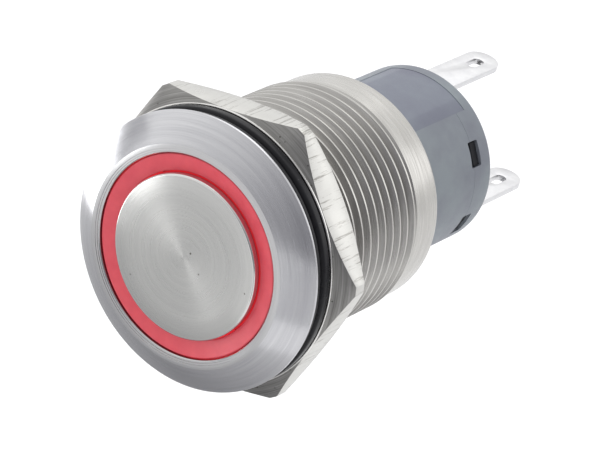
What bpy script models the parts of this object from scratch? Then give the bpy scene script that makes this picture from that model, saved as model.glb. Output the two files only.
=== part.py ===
"""Panel push button for a 19 mm hole: metal bezel, lit ring, sprung button, hexagon nut and switch base.

The button faces -Y and the switch body runs towards +Y, with +Z up. The origin is the centre of the
flange's rear face, where the button sits against the front of its panel. The solder lugs lie flat in
planes of constant Z. Every turned piece is centred on the Y axis.
"""
import math

import bmesh
import bpy
from mathutils import Matrix

MM = 0.001

# Clearances
SEAT_GAP = 0.3 * MM        # between pieces that rest on each other
RUN_GAP = 0.2 * MM         # round pieces that move in, or are slid into, each other
WELD = 1e-7                # merges the seams of turned meshes

# Facets round a full turn
ROUND = 48                 # outer round pieces
SMALL_ROUND = 24           # inner round pieces
TINY_ROUND = 12            # contacts, pins and leads

# Bezel and threaded barrel, sizes along Y measured from the panel face
FLANGE_RADIUS = 11.0 * MM
FLANGE_RIM = 0.25 * MM
LIP_FRONT = -1.7 * MM
LIP_RADIUS = 8.75 * MM
LIP_BORE = 8.15 * MM
RING_SEAT = 1.3 * MM
BORE_RADIUS = 7.65 * MM
THREAD_CREST = 9.45 * MM
THREAD_ROOT = 8.95 * MM
THREAD_PITCH = 1.0 * MM
THREAD_TURNS = 14
THREAD_START = 0.7 * MM
BAND_RADIUS = 9.25 * MM
BAND_START = 15.8 * MM
BARREL_END = 18.85 * MM

# Contact lever and fixed contacts
LEVER_Y = (22.0 * MM, 22.4 * MM)
LEVER_WIDTH = 2.6 * MM
LEVER_TOP = 5.3 * MM
LEVER_BOTTOM = -4.7 * MM
RIVET_Z = -3.7 * MM
RIVET_RADIUS = 0.6 * MM
RIVET_HEAD = 0.3 * MM
CONTACT_THICK = 0.6 * MM
NC_PLATE_Y = (20.0 * MM, 20.5 * MM)
NO_PLATE_Y = (24.9 * MM, 25.4 * MM)
FULCRUM_Y = (22.7 * MM, 23.2 * MM)
FULCRUM_FOOT = 4.4 * MM
PLATE_REACH = 0.8 * MM     # how far a contact plate runs past the lever's centre line

# Button, plunger and the sleeve that guides them
BUTTON_FRONT = -1.78 * MM
BUTTON_RADIUS = 6.5 * MM
BUTTON_DISC = 1.1 * MM
BUTTON_TRAVEL = 2.0 * MM
BOSS_RADIUS = 3.0 * MM
BOSS_END = 4.3 * MM
PIN_RADIUS = 1.5 * MM
HEAD_RADIUS = 5.4 * MM
HEAD_FRONT = BOSS_END + SEAT_GAP
HEAD_THICK = 1.2 * MM
STEM_RADIUS = 2.0 * MM
STEM_END = LEVER_Y[0] - 1.0 * MM - BUTTON_TRAVEL    # 1 mm short of the lever when pressed
POCKET_RADIUS = 1.45 * MM
POCKET_FLOOR = 16.0 * MM
GUIDE_RADIUS = 6.3 * MM
GUIDE_BORE = 5.7 * MM
GUIDE_FRONT = 1.7 * MM
GUIDE_LIP = 2.4 * MM       # thickness of the guide's front wall
GUIDE_END = 12.4 * MM
GUIDE_FLOOR = 1.4 * MM

# Light ring, light guide and lamp board
RING_FRONT = -1.45 * MM
RING_OUTER = LIP_BORE - RUN_GAP
RING_INNER = BUTTON_RADIUS + RUN_GAP
LIGHT_GUIDE_OUTER = 7.35 * MM
LIGHT_GUIDE_INNER = GUIDE_RADIUS + SEAT_GAP
BOARD_RADIUS = 7.2 * MM
BOARD_FRONT = 13.9 * MM
BOARD_THICK = 0.8 * MM
LAMP_COUNT = 4
LAMP_SIZE = (1.4 * MM, 0.8 * MM, 0.9 * MM)   # along the rim, along Y, radially
LAMP_ORBIT = 6.6 * MM

# Gasket, washer and nut
GASKET_OUTER = 10.97 * MM
GASKET_BORE = 9.75 * MM
GASKET_END = 1.25 * MM
WASHER_OUTER = 11.05 * MM
WASHER_THICK = 0.2 * MM
NUT_FLATS = 22.0 * MM
NUT_CORNER = 12.52 * MM
NUT_FACE = 10.92 * MM        # radius where each chamfer starts
NUT_BORE = THREAD_CREST + SEAT_GAP
NUT_FRONT = 1.88 * MM
NUT_THICK = 2.9 * MM
NUT_CHAMFER = math.radians(30)
NUT_TURNED = math.radians(-11.3)     # corner angle above the X axis, as the nut was left

# Rear housing and contact base
HOUSING_RADIUS = 7.33 * MM
HOUSING_WALL = 0.7 * MM
HOUSING_START = 15.2 * MM
HOUSING_FLOOR = 1.0 * MM
HOUSING_END = 29.35 * MM
WINDOW_Y = (26.6 * MM, 27.9 * MM)
WINDOW_HEIGHT = 2.1 * MM
WINDOW_ANGLES = [math.radians(a) for a in (32.0, -18.5, 148.0, 198.5)]
BASE_RADIUS = HOUSING_RADIUS - HOUSING_WALL - SEAT_GAP
BASE_START = 26.0 * MM
BASE_END = 28.3 * MM
SEAL_END = 29.1 * MM

# Solder lugs: centre (x, z), width, and where the lug's stem ends inside the housing
LUG_END = 39.0 * MM
LUG_THICK = 0.5 * MM
STEM_THICK = 0.4 * MM
LUG_SHOULDER = 29.6 * MM
LAMP_LUG_END = 37.0 * MM
SWITCH_LUG_WIDTH = 2.8 * MM
LAMP_LUG_WIDTH = 2.0 * MM
SOLDER_SLOT = (0.9 * MM, 1.9 * MM)
SOLDER_SLOT_INSET = 2.4 * MM   # slot centre from the lug's end
COMMON_AT = (-0.85 * MM, 5.75 * MM)
NO_AT = (4.35 * MM, -2.6 * MM)
NC_AT = (-4.35 * MM, -2.6 * MM)
LED_PLUS_AT = (-4.6 * MM, 2.0 * MM)
LED_MINUS_AT = (0.6 * MM, -5.4 * MM)


# ---------------------------------------------------------------- tools

def clear_scene():
    """Start from an empty scene."""
    for old in list(bpy.data.objects):
        bpy.data.objects.remove(old, do_unlink=True)


def material(name, colour, metallic, roughness):
    """A plain Principled material."""
    made = bpy.data.materials.new(name)
    made.use_nodes = True
    shader = made.node_tree.nodes["Principled BSDF"]
    shader.inputs["Base Color"].default_value = (*colour, 1.0)
    shader.inputs["Metallic"].default_value = metallic
    shader.inputs["Roughness"].default_value = roughness
    return made


def new_object(name, bm, mat):
    """Close up a bmesh, turn its faces outwards and put it in the scene as one object."""
    bmesh.ops.remove_doubles(bm, verts=bm.verts, dist=WELD)
    bmesh.ops.recalc_face_normals(bm, faces=bm.faces)
    mesh = bpy.data.meshes.new(name)
    bm.to_mesh(mesh)
    bm.free()
    mesh.shade_smooth()
    mesh.set_sharp_from_angle(angle=math.radians(30))
    obj = bpy.data.objects.new(name, mesh)
    bpy.context.scene.collection.objects.link(obj)
    mesh.materials.append(mat)
    return obj


def spin_profile(bm, profile, steps, closed=True):
    """Turn a list of (radius, y) points round the Y axis."""
    verts = [bm.verts.new((radius, y, 0.0)) for radius, y in profile]
    pairs = list(zip(verts, verts[1:]))
    if closed:
        pairs.append((verts[-1], verts[0]))
    edges = [bm.edges.new(pair) for pair in pairs]
    bmesh.ops.spin(bm, geom=verts + edges, cent=(0, 0, 0), axis=(0, 1, 0), angle=2 * math.pi,
                   steps=steps, use_merge=False)
    bmesh.ops.remove_doubles(bm, verts=bm.verts, dist=WELD)


def turned(name, profile, mat, steps=SMALL_ROUND):
    """A solid of revolution about the Y axis."""
    bm = bmesh.new()
    spin_profile(bm, profile, steps)
    return new_object(name, bm, mat)


def tube(name, inner, outer, y0, y1, mat, steps=SMALL_ROUND):
    """A plain tube along Y."""
    return turned(name, [(inner, y0), (outer, y0), (outer, y1), (inner, y1)], mat, steps)


def add_box(bm, low, high):
    """Add a box between two corners to a bmesh."""
    size = [b - a for a, b in zip(low, high)]
    centre = [(a + b) / 2 for a, b in zip(low, high)]
    place = Matrix.Translation(centre) @ Matrix.Diagonal((*size, 1.0))
    bmesh.ops.create_cube(bm, size=1.0, matrix=place)


def box(name, low, high, mat):
    """A box between two corners."""
    bm = bmesh.new()
    add_box(bm, low, high)
    return new_object(name, bm, mat)


def rod(name, radius, y0, y1, x, z, mat, steps=TINY_ROUND):
    """A round rod along Y, centred at (x, z)."""
    obj = turned(name, [(0, y0), (radius, y0), (radius, y1), (0, y1)], mat, steps)
    obj.data.transform(Matrix.Translation((x, 0, z)))
    return obj


def slab(name, outline, z0, z1, mat):
    """A flat plate: an (x, y) outline extruded from z0 to z1."""
    bm = bmesh.new()
    face = bm.faces.new([bm.verts.new((x, y, z0)) for x, y in outline])
    raised = bmesh.ops.extrude_face_region(bm, geom=[face])
    lifted = [item for item in raised["geom"] if isinstance(item, bmesh.types.BMVert)]
    bmesh.ops.translate(bm, verts=lifted, vec=(0, 0, z1 - z0))
    return new_object(name, bm, mat)


def arc(x, y, radius, start, steps):
    """Points of half a circle about (x, y), turning anticlockwise from an angle."""
    angles = [start + math.pi * k / steps for k in range(steps + 1)]
    return [(x + radius * math.cos(a), y + radius * math.sin(a)) for a in angles]


def boolean(obj, tool, operation):
    """Combine an object with a tool piece, which stays as a hidden guide."""
    modifier = obj.modifiers.new(tool.name, "BOOLEAN")
    modifier.operation = operation
    modifier.solver = "EXACT"
    modifier.object = tool
    tool.hide_render = True
    tool.display_type = "WIRE"


def coil(name, radius, wire, y0, y1, turns, mat, per_turn=14):
    """A compression spring along Y, its wire ends square, drawn as a bevelled curve."""
    curve = bpy.data.curves.new(name, "CURVE")
    curve.dimensions = "3D"
    spline = curve.splines.new("POLY")
    count = turns * per_turn + 1
    spline.points.add(count - 1)
    start, end = y0 + wire / 2, y1 - wire / 2
    for index, point in enumerate(spline.points):
        along = index / (count - 1)
        angle = 2 * math.pi * turns * along
        point.co = (radius * math.cos(angle), start + (end - start) * along, radius * math.sin(angle), 1.0)
    curve.bevel_depth = wire / 2
    curve.bevel_resolution = 1
    curve.use_fill_caps = True
    curve.materials.append(mat)
    obj = bpy.data.objects.new(name, curve)
    bpy.context.scene.collection.objects.link(obj)
    return obj


# ---------------------------------------------------------------- metal front and barrel

def add_thread(bm, y_before, y_after):
    """The right-hand thread's skin, from a plain ring at y_before to a plain ring at y_after.

    Rows of points run along the helix, root and crest in turn, so each row's last point is the
    first point of the row one pitch on. A small triangle closes the groove at each end.
    """
    rows = 2 * THREAD_TURNS

    def helix_point(row, step):
        radius = THREAD_CREST if row % 2 else THREAD_ROOT
        angle = -2 * math.pi * step / ROUND
        y = THREAD_START + THREAD_PITCH * (row / 2 + step / ROUND)
        return bm.verts.new((radius * math.cos(angle), y, radius * math.sin(angle)))

    def plain_ring(y):
        angles = [-2 * math.pi * step / ROUND for step in range(ROUND)]
        return [bm.verts.new((THREAD_ROOT * math.cos(a), y, THREAD_ROOT * math.sin(a))) for a in angles]

    grid = [[helix_point(row, step) for step in range(ROUND)] for row in range(rows + 1)]
    for row in range(rows - 1):
        grid[row].append(grid[row + 2][0])
    grid[rows - 1].append(helix_point(rows - 1, ROUND))
    grid[rows].append(helix_point(rows, ROUND))

    for row in range(rows):
        for step in range(ROUND):
            bm.faces.new((grid[row][step], grid[row][step + 1], grid[row + 1][step + 1], grid[row + 1][step]))

    first, last = plain_ring(y_before), plain_ring(y_after)
    bm.faces.new((grid[0][0], grid[1][0], grid[2][0]))
    bm.faces.new((grid[rows][0], grid[rows - 1][ROUND], grid[rows][ROUND]))
    for step in range(ROUND):
        after = (step + 1) % ROUND
        lower = [first[step], first[after]]
        if after == 0:
            lower.append(grid[0][0])
        bm.faces.new(lower + [grid[0][step + 1], grid[0][step]])
        upper = [grid[rows][step], grid[rows][step + 1], last[after], last[step]]
        if step == 0:
            upper.append(grid[rows][ROUND])
        bm.faces.new(upper)


def make_bezel(steel):
    """Flange with its conical face, and the threaded barrel behind it, as one turned piece."""
    thread_from, thread_to = 0.5 * MM, 15.75 * MM
    break_edge = 0.07 * MM
    bm = bmesh.new()
    add_thread(bm, thread_from, thread_to)
    spin_profile(bm, [
        (THREAD_ROOT, thread_to),
        (BAND_RADIUS, BAND_START),
        (BAND_RADIUS, BARREL_END - 0.4 * MM),
        (BAND_RADIUS - 0.12 * MM, BARREL_END - 0.12 * MM),
        (BAND_RADIUS - 0.4 * MM, BARREL_END),
        (BORE_RADIUS, BARREL_END),
        (BORE_RADIUS, RING_SEAT),
        (LIP_BORE, RING_SEAT),
        (LIP_BORE, LIP_FRONT + break_edge),
        (LIP_BORE + break_edge, LIP_FRONT),
        (LIP_RADIUS, LIP_FRONT),
        (FLANGE_RADIUS - break_edge, -FLANGE_RIM - break_edge / 2),
        (FLANGE_RADIUS, -FLANGE_RIM + break_edge / 2),
        (FLANGE_RADIUS, -break_edge),
        (FLANGE_RADIUS - break_edge, 0),
        (THREAD_ROOT, 0),
        (THREAD_ROOT, thread_from),
    ], ROUND, closed=False)
    return new_object("bezel_body", bm, steel)


def make_light_ring(red_plastic):
    """The lit ring, set in the bezel round the button."""
    edge = 0.1 * MM
    end = RING_SEAT - SEAT_GAP
    return turned("light_ring", [
        (RING_INNER, RING_FRONT + edge), (RING_INNER + edge, RING_FRONT),
        (RING_OUTER - edge, RING_FRONT), (RING_OUTER, RING_FRONT + edge),
        (RING_OUTER, end), (RING_INNER, end)], red_plastic, ROUND)


# ---------------------------------------------------------------- button and plunger

def make_button_cap(steel):
    """The button: a disc with a rounded edge and a boss behind it, bored for the plunger's pin."""
    edge = 0.15 * MM
    disc_end = BUTTON_FRONT + BUTTON_DISC
    bore_floor = disc_end + 0.2 * MM
    bore = PIN_RADIUS + SEAT_GAP
    return turned("button_cap", [
        (0, BUTTON_FRONT), (BUTTON_RADIUS - edge, BUTTON_FRONT),
        (BUTTON_RADIUS - edge * 0.3, BUTTON_FRONT + edge * 0.3), (BUTTON_RADIUS, BUTTON_FRONT + edge),
        (BUTTON_RADIUS, disc_end), (BOSS_RADIUS, disc_end), (BOSS_RADIUS, BOSS_END),
        (bore, BOSS_END), (bore, bore_floor), (0, bore_floor)], steel, ROUND)


def make_plunger(nylon):
    """Pin for the cap, wide head that the guide retains, and a stem bored for the contact spring."""
    pin_front = BUTTON_FRONT + BUTTON_DISC + 0.5 * MM
    head_end = HEAD_FRONT + HEAD_THICK
    return turned("plunger", [
        (0, pin_front), (PIN_RADIUS, pin_front), (PIN_RADIUS, HEAD_FRONT), (HEAD_RADIUS, HEAD_FRONT),
        (HEAD_RADIUS, head_end), (STEM_RADIUS, head_end), (STEM_RADIUS, STEM_END),
        (POCKET_RADIUS, STEM_END), (POCKET_RADIUS, POCKET_FLOOR), (0, POCKET_FLOOR)], nylon)


def make_plunger_guide(black_plastic):
    """Sleeve in the barrel. Its front wall holds the head in, and its floor carries the spring."""
    hole = BOSS_RADIUS + SEAT_GAP
    seal_pocket = hole + 1.0 * MM
    seal_floor = GUIDE_FRONT + 1.2 * MM
    wall_end = GUIDE_FRONT + GUIDE_LIP
    floor = GUIDE_END - GUIDE_FLOOR
    stem_hole = STEM_RADIUS + SEAT_GAP
    return turned("plunger_guide", [
        (seal_pocket, GUIDE_FRONT), (GUIDE_RADIUS, GUIDE_FRONT), (GUIDE_RADIUS, GUIDE_END),
        (stem_hole, GUIDE_END), (stem_hole, floor), (GUIDE_BORE, floor), (GUIDE_BORE, wall_end),
        (hole, wall_end), (hole, seal_floor), (seal_pocket, seal_floor)], black_plastic)


def make_plunger_seal(rubber):
    """O-ring round the cap's boss, in the guide's pocket."""
    section = 0.35 * MM
    centre_r = BOSS_RADIUS + RUN_GAP + section
    centre_y = GUIDE_FRONT + 0.45 * MM
    angles = [2 * math.pi * k / 8 for k in range(8)]
    return turned("plunger_seal", [(centre_r + section * math.cos(a), centre_y + section * math.sin(a))
                                   for a in angles], rubber)


# ---------------------------------------------------------------- lighting

def make_light_guide(clear_plastic):
    """Clear tube from the lamps to the ring."""
    tube("light_guide", LIGHT_GUIDE_INNER, LIGHT_GUIDE_OUTER, RING_SEAT, GUIDE_END, clear_plastic)


def make_lamp_board(board_green, lamp_red, chip_black, tinned):
    """Board behind the guide, with its lamps, resistor and two leads."""
    board_rear = BOARD_FRONT + BOARD_THICK
    tube("led_board", STEM_RADIUS + SEAT_GAP, BOARD_RADIUS, BOARD_FRONT, board_rear, board_green)
    along, deep, radial = LAMP_SIZE
    for index in range(LAMP_COUNT):
        lamp = box(f"led_{index + 1}", (-along / 2, BOARD_FRONT - SEAT_GAP - deep, LAMP_ORBIT - radial / 2),
                   (along / 2, BOARD_FRONT - SEAT_GAP, LAMP_ORBIT + radial / 2), lamp_red)
        turn = 2 * math.pi * (index + 0.5) / LAMP_COUNT
        lamp.data.transform(Matrix.Rotation(turn, 4, "Y"))
    box("resistor", (-4.6 * MM, BOARD_FRONT - SEAT_GAP - 0.5 * MM, -1.0 * MM),
        (-3.4 * MM, BOARD_FRONT - SEAT_GAP, 1.0 * MM), chip_black)
    lead_start = board_rear + SEAT_GAP
    lead_end = 17.2 * MM
    for name, (x, z) in (("led_lead_plus", LED_PLUS_AT), ("led_lead_minus", LED_MINUS_AT)):
        rod(name, 0.3 * MM, lead_start, lead_end, x, z, tinned)


# ---------------------------------------------------------------- panel hardware

def make_gasket(rubber):
    """Rubber gasket with a small lip at the flange and a larger one at the nut."""
    start = SEAT_GAP
    groove = 0.7 * MM
    edge = 0.1 * MM
    small_lip = GASKET_OUTER - edge
    turned("gasket", [
        (GASKET_BORE, start), (small_lip - edge, start), (small_lip, start + edge),
        (small_lip, groove - edge), (small_lip - edge, groove), (GASKET_OUTER, groove + edge),
        (GASKET_OUTER, GASKET_END - edge), (GASKET_OUTER - edge, GASKET_END),
        (GASKET_BORE, GASKET_END)], rubber, ROUND)


def make_washer(nickel):
    """Thin washer between the gasket and the nut."""
    start = GASKET_END + RUN_GAP
    tube("nut_washer", GASKET_BORE, WASHER_OUTER, start, start + WASHER_THICK, nickel, ROUND)


def make_nut(nickel):
    """Hexagon nut with both ends chamfered: a hexagon cut to a turned blank, then bored."""
    end = NUT_FRONT + NUT_THICK
    hexagon_radius = NUT_FLATS / 2 / math.cos(math.pi / 6)
    bm = bmesh.new()
    spin_profile(bm, [(0, NUT_FRONT), (hexagon_radius, NUT_FRONT), (hexagon_radius, end), (0, end)], 6)
    bmesh.ops.rotate(bm, verts=bm.verts, cent=(0, 0, 0), matrix=Matrix.Rotation(NUT_TURNED, 3, "Y"))
    nut = new_object("hex_nut", bm, nickel)

    margin = 0.5 * MM
    depth = (NUT_CORNER - NUT_FACE) * math.tan(NUT_CHAMFER)
    beyond = NUT_FACE - margin / math.tan(NUT_CHAMFER)
    blank = turned("nut_blank", [
        (NUT_BORE, NUT_FRONT - margin), (beyond, NUT_FRONT - margin), (NUT_CORNER, NUT_FRONT + depth),
        (NUT_CORNER, end - depth), (beyond, end + margin), (NUT_BORE, end + margin)], nickel, ROUND)
    boolean(nut, blank, "INTERSECT")


# ---------------------------------------------------------------- rear housing

def make_housing(grey_plastic):
    """Cup that slides into the barrel, with snap windows near its rear rim."""
    inner = HOUSING_RADIUS - HOUSING_WALL
    floor_end = HOUSING_START + HOUSING_FLOOR
    stem_hole = STEM_RADIUS + SEAT_GAP
    edge = 0.2 * MM
    housing = turned("rear_housing", [
        (stem_hole, HOUSING_START), (HOUSING_RADIUS, HOUSING_START),
        (HOUSING_RADIUS, HOUSING_END - edge), (HOUSING_RADIUS - edge, HOUSING_END),
        (inner, HOUSING_END), (inner, floor_end), (stem_hole, floor_end)], grey_plastic, ROUND)

    for index, angle in enumerate(WINDOW_ANGLES):
        window = box(f"window_{index + 1}", (BASE_RADIUS, WINDOW_Y[0], -WINDOW_HEIGHT / 2),
                     (HOUSING_RADIUS + 1 * MM, WINDOW_Y[1], WINDOW_HEIGHT / 2), grey_plastic)
        window.data.transform(Matrix.Rotation(-angle, 4, "Y"))
        boolean(housing, window, "DIFFERENCE")

    for name, (x, z) in (("plus_lead_hole", LED_PLUS_AT), ("minus_lead_hole", LED_MINUS_AT)):
        hole = rod(name, 0.6 * MM, HOUSING_START - 1 * MM, floor_end + 1 * MM, x, z, grey_plastic)
        boolean(housing, hole, "DIFFERENCE")


def lug_slots(name, mat, y0, y1):
    """Guide solid with a slot round each lug's stem, open to the rim."""
    reach = HOUSING_RADIUS
    gap = SEAT_GAP
    high = STEM_THICK / 2 + gap
    bm = bmesh.new()
    half = SWITCH_LUG_WIDTH / 2 + gap
    x, z = COMMON_AT
    add_box(bm, (x - half, y0, z - high), (x + half, y1, reach))
    x, z = NO_AT
    add_box(bm, (x - half, y0, z - high), (reach, y1, z + high))
    x, z = NC_AT
    add_box(bm, (-reach, y0, z - high), (x + half, y1, z + high))
    half = LAMP_LUG_WIDTH / 2 + gap
    x, z = LED_PLUS_AT
    add_box(bm, (-reach, y0, z - high), (x + half, y1, z + high))
    x, z = LED_MINUS_AT
    add_box(bm, (x - half, y0, -reach), (x + half, y1, z + high))
    return new_object(name, bm, mat)


def make_base(black_plastic, resin):
    """Base that carries the lugs, with tabs that snap into the housing's windows, and its resin cap."""
    base = turned("contact_base", [(0, BASE_START), (BASE_RADIUS, BASE_START), (BASE_RADIUS, BASE_END),
                                   (0, BASE_END)], black_plastic, ROUND)
    tab_root, tab_reach = BASE_RADIUS - 1 * MM, HOUSING_RADIUS - 0.2 * MM
    tab_half = WINDOW_HEIGHT / 2 - SEAT_GAP
    for index, angle in enumerate(WINDOW_ANGLES):
        tab = box(f"snap_tab_{index + 1}", (tab_root, WINDOW_Y[0] + SEAT_GAP, -tab_half),
                  (tab_reach, WINDOW_Y[1] - SEAT_GAP, tab_half), black_plastic)
        tab.data.transform(Matrix.Rotation(-angle, 4, "Y"))
        boolean(base, tab, "UNION")
    slots = lug_slots("base_slots", black_plastic, BASE_START - 1 * MM, BASE_END + 1 * MM)
    boolean(base, slots, "DIFFERENCE")

    seal_start = BASE_END + SEAT_GAP
    seal = turned("rear_seal", [(0, seal_start), (BASE_RADIUS, seal_start), (BASE_RADIUS, SEAL_END),
                                (0, SEAL_END)], resin, ROUND)
    slots = lug_slots("seal_slots", resin, seal_start - 1 * MM, SEAL_END + 1 * MM)
    boolean(seal, slots, "DIFFERENCE")


# ---------------------------------------------------------------- lugs and contacts

def make_lug(name, at, width, end, stem_start, mat):
    """A flat lug with a round end and a solder slot, and a thinner stem that runs into the housing."""
    x, z = at
    half = width / 2
    outline = [(x - half, LUG_SHOULDER), (x + half, LUG_SHOULDER)] + arc(x, end - half, half, 0.0, TINY_ROUND)
    lug = slab(name, outline, z - LUG_THICK / 2, z + LUG_THICK / 2, mat)

    overlap = 0.4 * MM
    inset = 0.1 * MM
    stem = box(f"{name}_stem", (x - half + inset, stem_start, z - STEM_THICK / 2),
               (x + half - inset, LUG_SHOULDER + overlap, z + STEM_THICK / 2), mat)
    boolean(lug, stem, "UNION")

    slot_width, slot_length = SOLDER_SLOT
    radius = slot_width / 2
    shift = slot_length / 2 - radius
    centre_y = end - SOLDER_SLOT_INSET
    steps = TINY_ROUND // 2
    loop = arc(x, centre_y + shift, radius, 0.0, steps) + arc(x, centre_y - shift, radius, math.pi, steps)
    boolean(lug, slab(f"{name}_slot", loop, z - LUG_THICK, z + LUG_THICK, mat), "DIFFERENCE")
    return lug


def add_plate(lug, name, low, high, mat):
    """Join an upright contact plate to a lug's stem."""
    boolean(lug, box(name, low, high, mat), "UNION")


def make_lugs(tinned):
    """Three switch lugs, each with its own inner plate, and two lamp lugs."""
    bite = 0.1 * MM            # the stem starts this far into its plate
    width = SWITCH_LUG_WIDTH

    x, z = COMMON_AT
    front, rear = FULCRUM_Y
    common = make_lug("terminal_common", COMMON_AT, width, LUG_END, front + bite, tinned)
    add_plate(common, "fulcrum", (x - 0.4 * MM, front, FULCRUM_FOOT), (x + 1.25 * MM, rear, z), tinned)

    x, z = NO_AT
    front, rear = NO_PLATE_Y
    open_lug = make_lug("terminal_no", NO_AT, width, LUG_END, front + bite, tinned)
    add_plate(open_lug, "no_plate", (-PLATE_REACH, front, LEVER_BOTTOM), (x + 0.5 * MM, rear, z), tinned)

    x, z = NC_AT
    front, rear = NC_PLATE_Y
    closed_lug = make_lug("terminal_nc", NC_AT, width, LUG_END, front + bite, tinned)
    add_plate(closed_lug, "nc_plate", (x - 0.5 * MM, front, LEVER_BOTTOM), (PLATE_REACH, rear, z), tinned)

    lamp_stem = 17.5 * MM
    make_lug("terminal_led_plus", LED_PLUS_AT, LAMP_LUG_WIDTH, LAMP_LUG_END, lamp_stem, tinned)
    make_lug("terminal_led_minus", LED_MINUS_AT, LAMP_LUG_WIDTH, LAMP_LUG_END, lamp_stem, tinned)


def make_contacts(brass, silver):
    """The swinging lever with its rivet, and the two fixed contacts on either side of it."""
    half = LEVER_WIDTH / 2
    lever = box("contact_lever", (-half, LEVER_Y[0], LEVER_BOTTOM), (half, LEVER_Y[1], LEVER_TOP), brass)
    start, end = LEVER_Y[0] - 1 * MM, LEVER_Y[1] + 1 * MM
    hole = rod("rivet_hole", RIVET_RADIUS + RUN_GAP, start, end, 0, RIVET_Z, brass)
    boolean(lever, hole, "DIFFERENCE")
    front, rear = LEVER_Y[0] - RIVET_HEAD, LEVER_Y[1] + RIVET_HEAD
    rod("lever_rivet", RIVET_RADIUS, front, rear, 0, RIVET_Z, silver)
    rod("contact_nc", RIVET_RADIUS, NC_PLATE_Y[1] + SEAT_GAP, front - SEAT_GAP, 0, RIVET_Z, silver)
    open_rear = NO_PLATE_Y[0] - SEAT_GAP
    rod("contact_no", RIVET_RADIUS, open_rear - CONTACT_THICK, open_rear, 0, RIVET_Z, silver)


def make_springs(spring_steel):
    """The button's return spring, and the small spring that carries the plunger's push to the lever."""
    coil("return_spring", 3.9 * MM, 0.5 * MM, HEAD_FRONT + HEAD_THICK + SEAT_GAP,
         GUIDE_END - GUIDE_FLOOR - SEAT_GAP, 4, spring_steel)
    coil("contact_spring", 0.95 * MM, 0.28 * MM, POCKET_FLOOR + SEAT_GAP, LEVER_Y[0] - SEAT_GAP, 7,
         spring_steel, per_turn=10)


def main():
    clear_scene()
    steel = material("stainless_steel", (0.62, 0.61, 0.59), 1.0, 0.3)
    nickel = material("nickel_plate", (0.7, 0.69, 0.66), 1.0, 0.25)
    tinned = material("tinned_brass", (0.85, 0.85, 0.84), 1.0, 0.3)
    brass = material("spring_brass", (0.78, 0.6, 0.3), 1.0, 0.3)
    silver = material("contact_silver", (0.9, 0.89, 0.87), 1.0, 0.25)
    spring_steel = material("spring_steel", (0.5, 0.5, 0.52), 1.0, 0.3)
    grey_plastic = material("housing_grey", (0.25, 0.28, 0.31), 0.0, 0.5)
    black_plastic = material("base_black", (0.02, 0.02, 0.022), 0.0, 0.5)
    red_plastic = material("ring_red", (0.75, 0.06, 0.08), 0.0, 0.4)
    clear_plastic = material("guide_clear", (0.9, 0.9, 0.9), 0.0, 0.1)
    nylon = material("plunger_nylon", (0.85, 0.84, 0.8), 0.0, 0.5)
    rubber = material("gasket_rubber", (0.015, 0.015, 0.018), 0.0, 0.45)
    resin = material("seal_resin", (0.03, 0.03, 0.035), 0.0, 0.3)
    board_green = material("board_green", (0.02, 0.2, 0.06), 0.0, 0.5)
    lamp_red = material("lamp_red", (0.8, 0.1, 0.1), 0.0, 0.3)
    chip_black = material("chip_black", (0.03, 0.03, 0.03), 0.0, 0.4)

    make_bezel(steel)
    make_light_ring(red_plastic)
    make_button_cap(steel)
    make_plunger(nylon)
    make_plunger_guide(black_plastic)
    make_plunger_seal(rubber)
    make_light_guide(clear_plastic)
    make_lamp_board(board_green, lamp_red, chip_black, tinned)
    make_gasket(rubber)
    make_washer(nickel)
    make_nut(nickel)
    make_housing(grey_plastic)
    make_base(black_plastic, resin)
    make_lugs(tinned)
    make_contacts(brass, silver)
    make_springs(spring_steel)


main()
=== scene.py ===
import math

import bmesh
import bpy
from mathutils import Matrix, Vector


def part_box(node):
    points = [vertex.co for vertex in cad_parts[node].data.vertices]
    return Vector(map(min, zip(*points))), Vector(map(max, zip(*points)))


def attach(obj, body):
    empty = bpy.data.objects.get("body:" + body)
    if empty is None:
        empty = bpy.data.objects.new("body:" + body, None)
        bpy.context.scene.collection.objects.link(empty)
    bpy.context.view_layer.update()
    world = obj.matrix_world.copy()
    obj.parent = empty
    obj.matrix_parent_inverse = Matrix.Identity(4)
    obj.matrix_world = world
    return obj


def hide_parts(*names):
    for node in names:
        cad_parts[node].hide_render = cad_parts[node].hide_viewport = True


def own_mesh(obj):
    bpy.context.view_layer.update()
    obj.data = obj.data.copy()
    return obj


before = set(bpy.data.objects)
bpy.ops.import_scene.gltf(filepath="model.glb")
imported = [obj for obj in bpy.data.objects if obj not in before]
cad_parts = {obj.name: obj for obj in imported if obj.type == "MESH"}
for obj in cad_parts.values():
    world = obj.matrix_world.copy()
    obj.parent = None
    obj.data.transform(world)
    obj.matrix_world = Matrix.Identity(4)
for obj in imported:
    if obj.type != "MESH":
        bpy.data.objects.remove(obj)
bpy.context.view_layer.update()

# %% [markdown]
# # A lit panel push button in stainless steel
#
# The object is a 19 mm panel switch: a turned steel bezel on a threaded barrel, a glowing ring round a
# spun steel button, a rubber gasket and a hexagon nut that clamp it in a panel, and a grey plastic rear
# housing with solder lugs. The CAD model already holds every piece at its true size. This file gives each
# piece its fine shape and its finish. Sizes are in millimetres, and MM turns them into Blender's metres.

MM = 0.001


def turned_size(name):
    """Outer radius, first y and last y, in mm, of a CAD node that is turned round the Y axis."""
    low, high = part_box(name)
    return high.x / MM, low.y / MM, high.y / MM


# %% [markdown]
# ## The camera
#
# The button is seen from its right and from above, with the camera rolled so that the barrel runs up
# and away to the right. A long lens keeps the circles close to true ellipses. The camera is placed by
# two angles, a roll and a distance round one point on the barrel, so each of these can be changed alone.

# %% Camera
LOOK_AT = Vector((1.21, 12.0, -0.77)) * MM
CAMERA_TURN = math.radians(28.26)
CAMERA_RISE = math.radians(28.56)
CAMERA_ROLL = math.radians(16.81)
CAMERA_DISTANCE = 295.3 * MM

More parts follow.
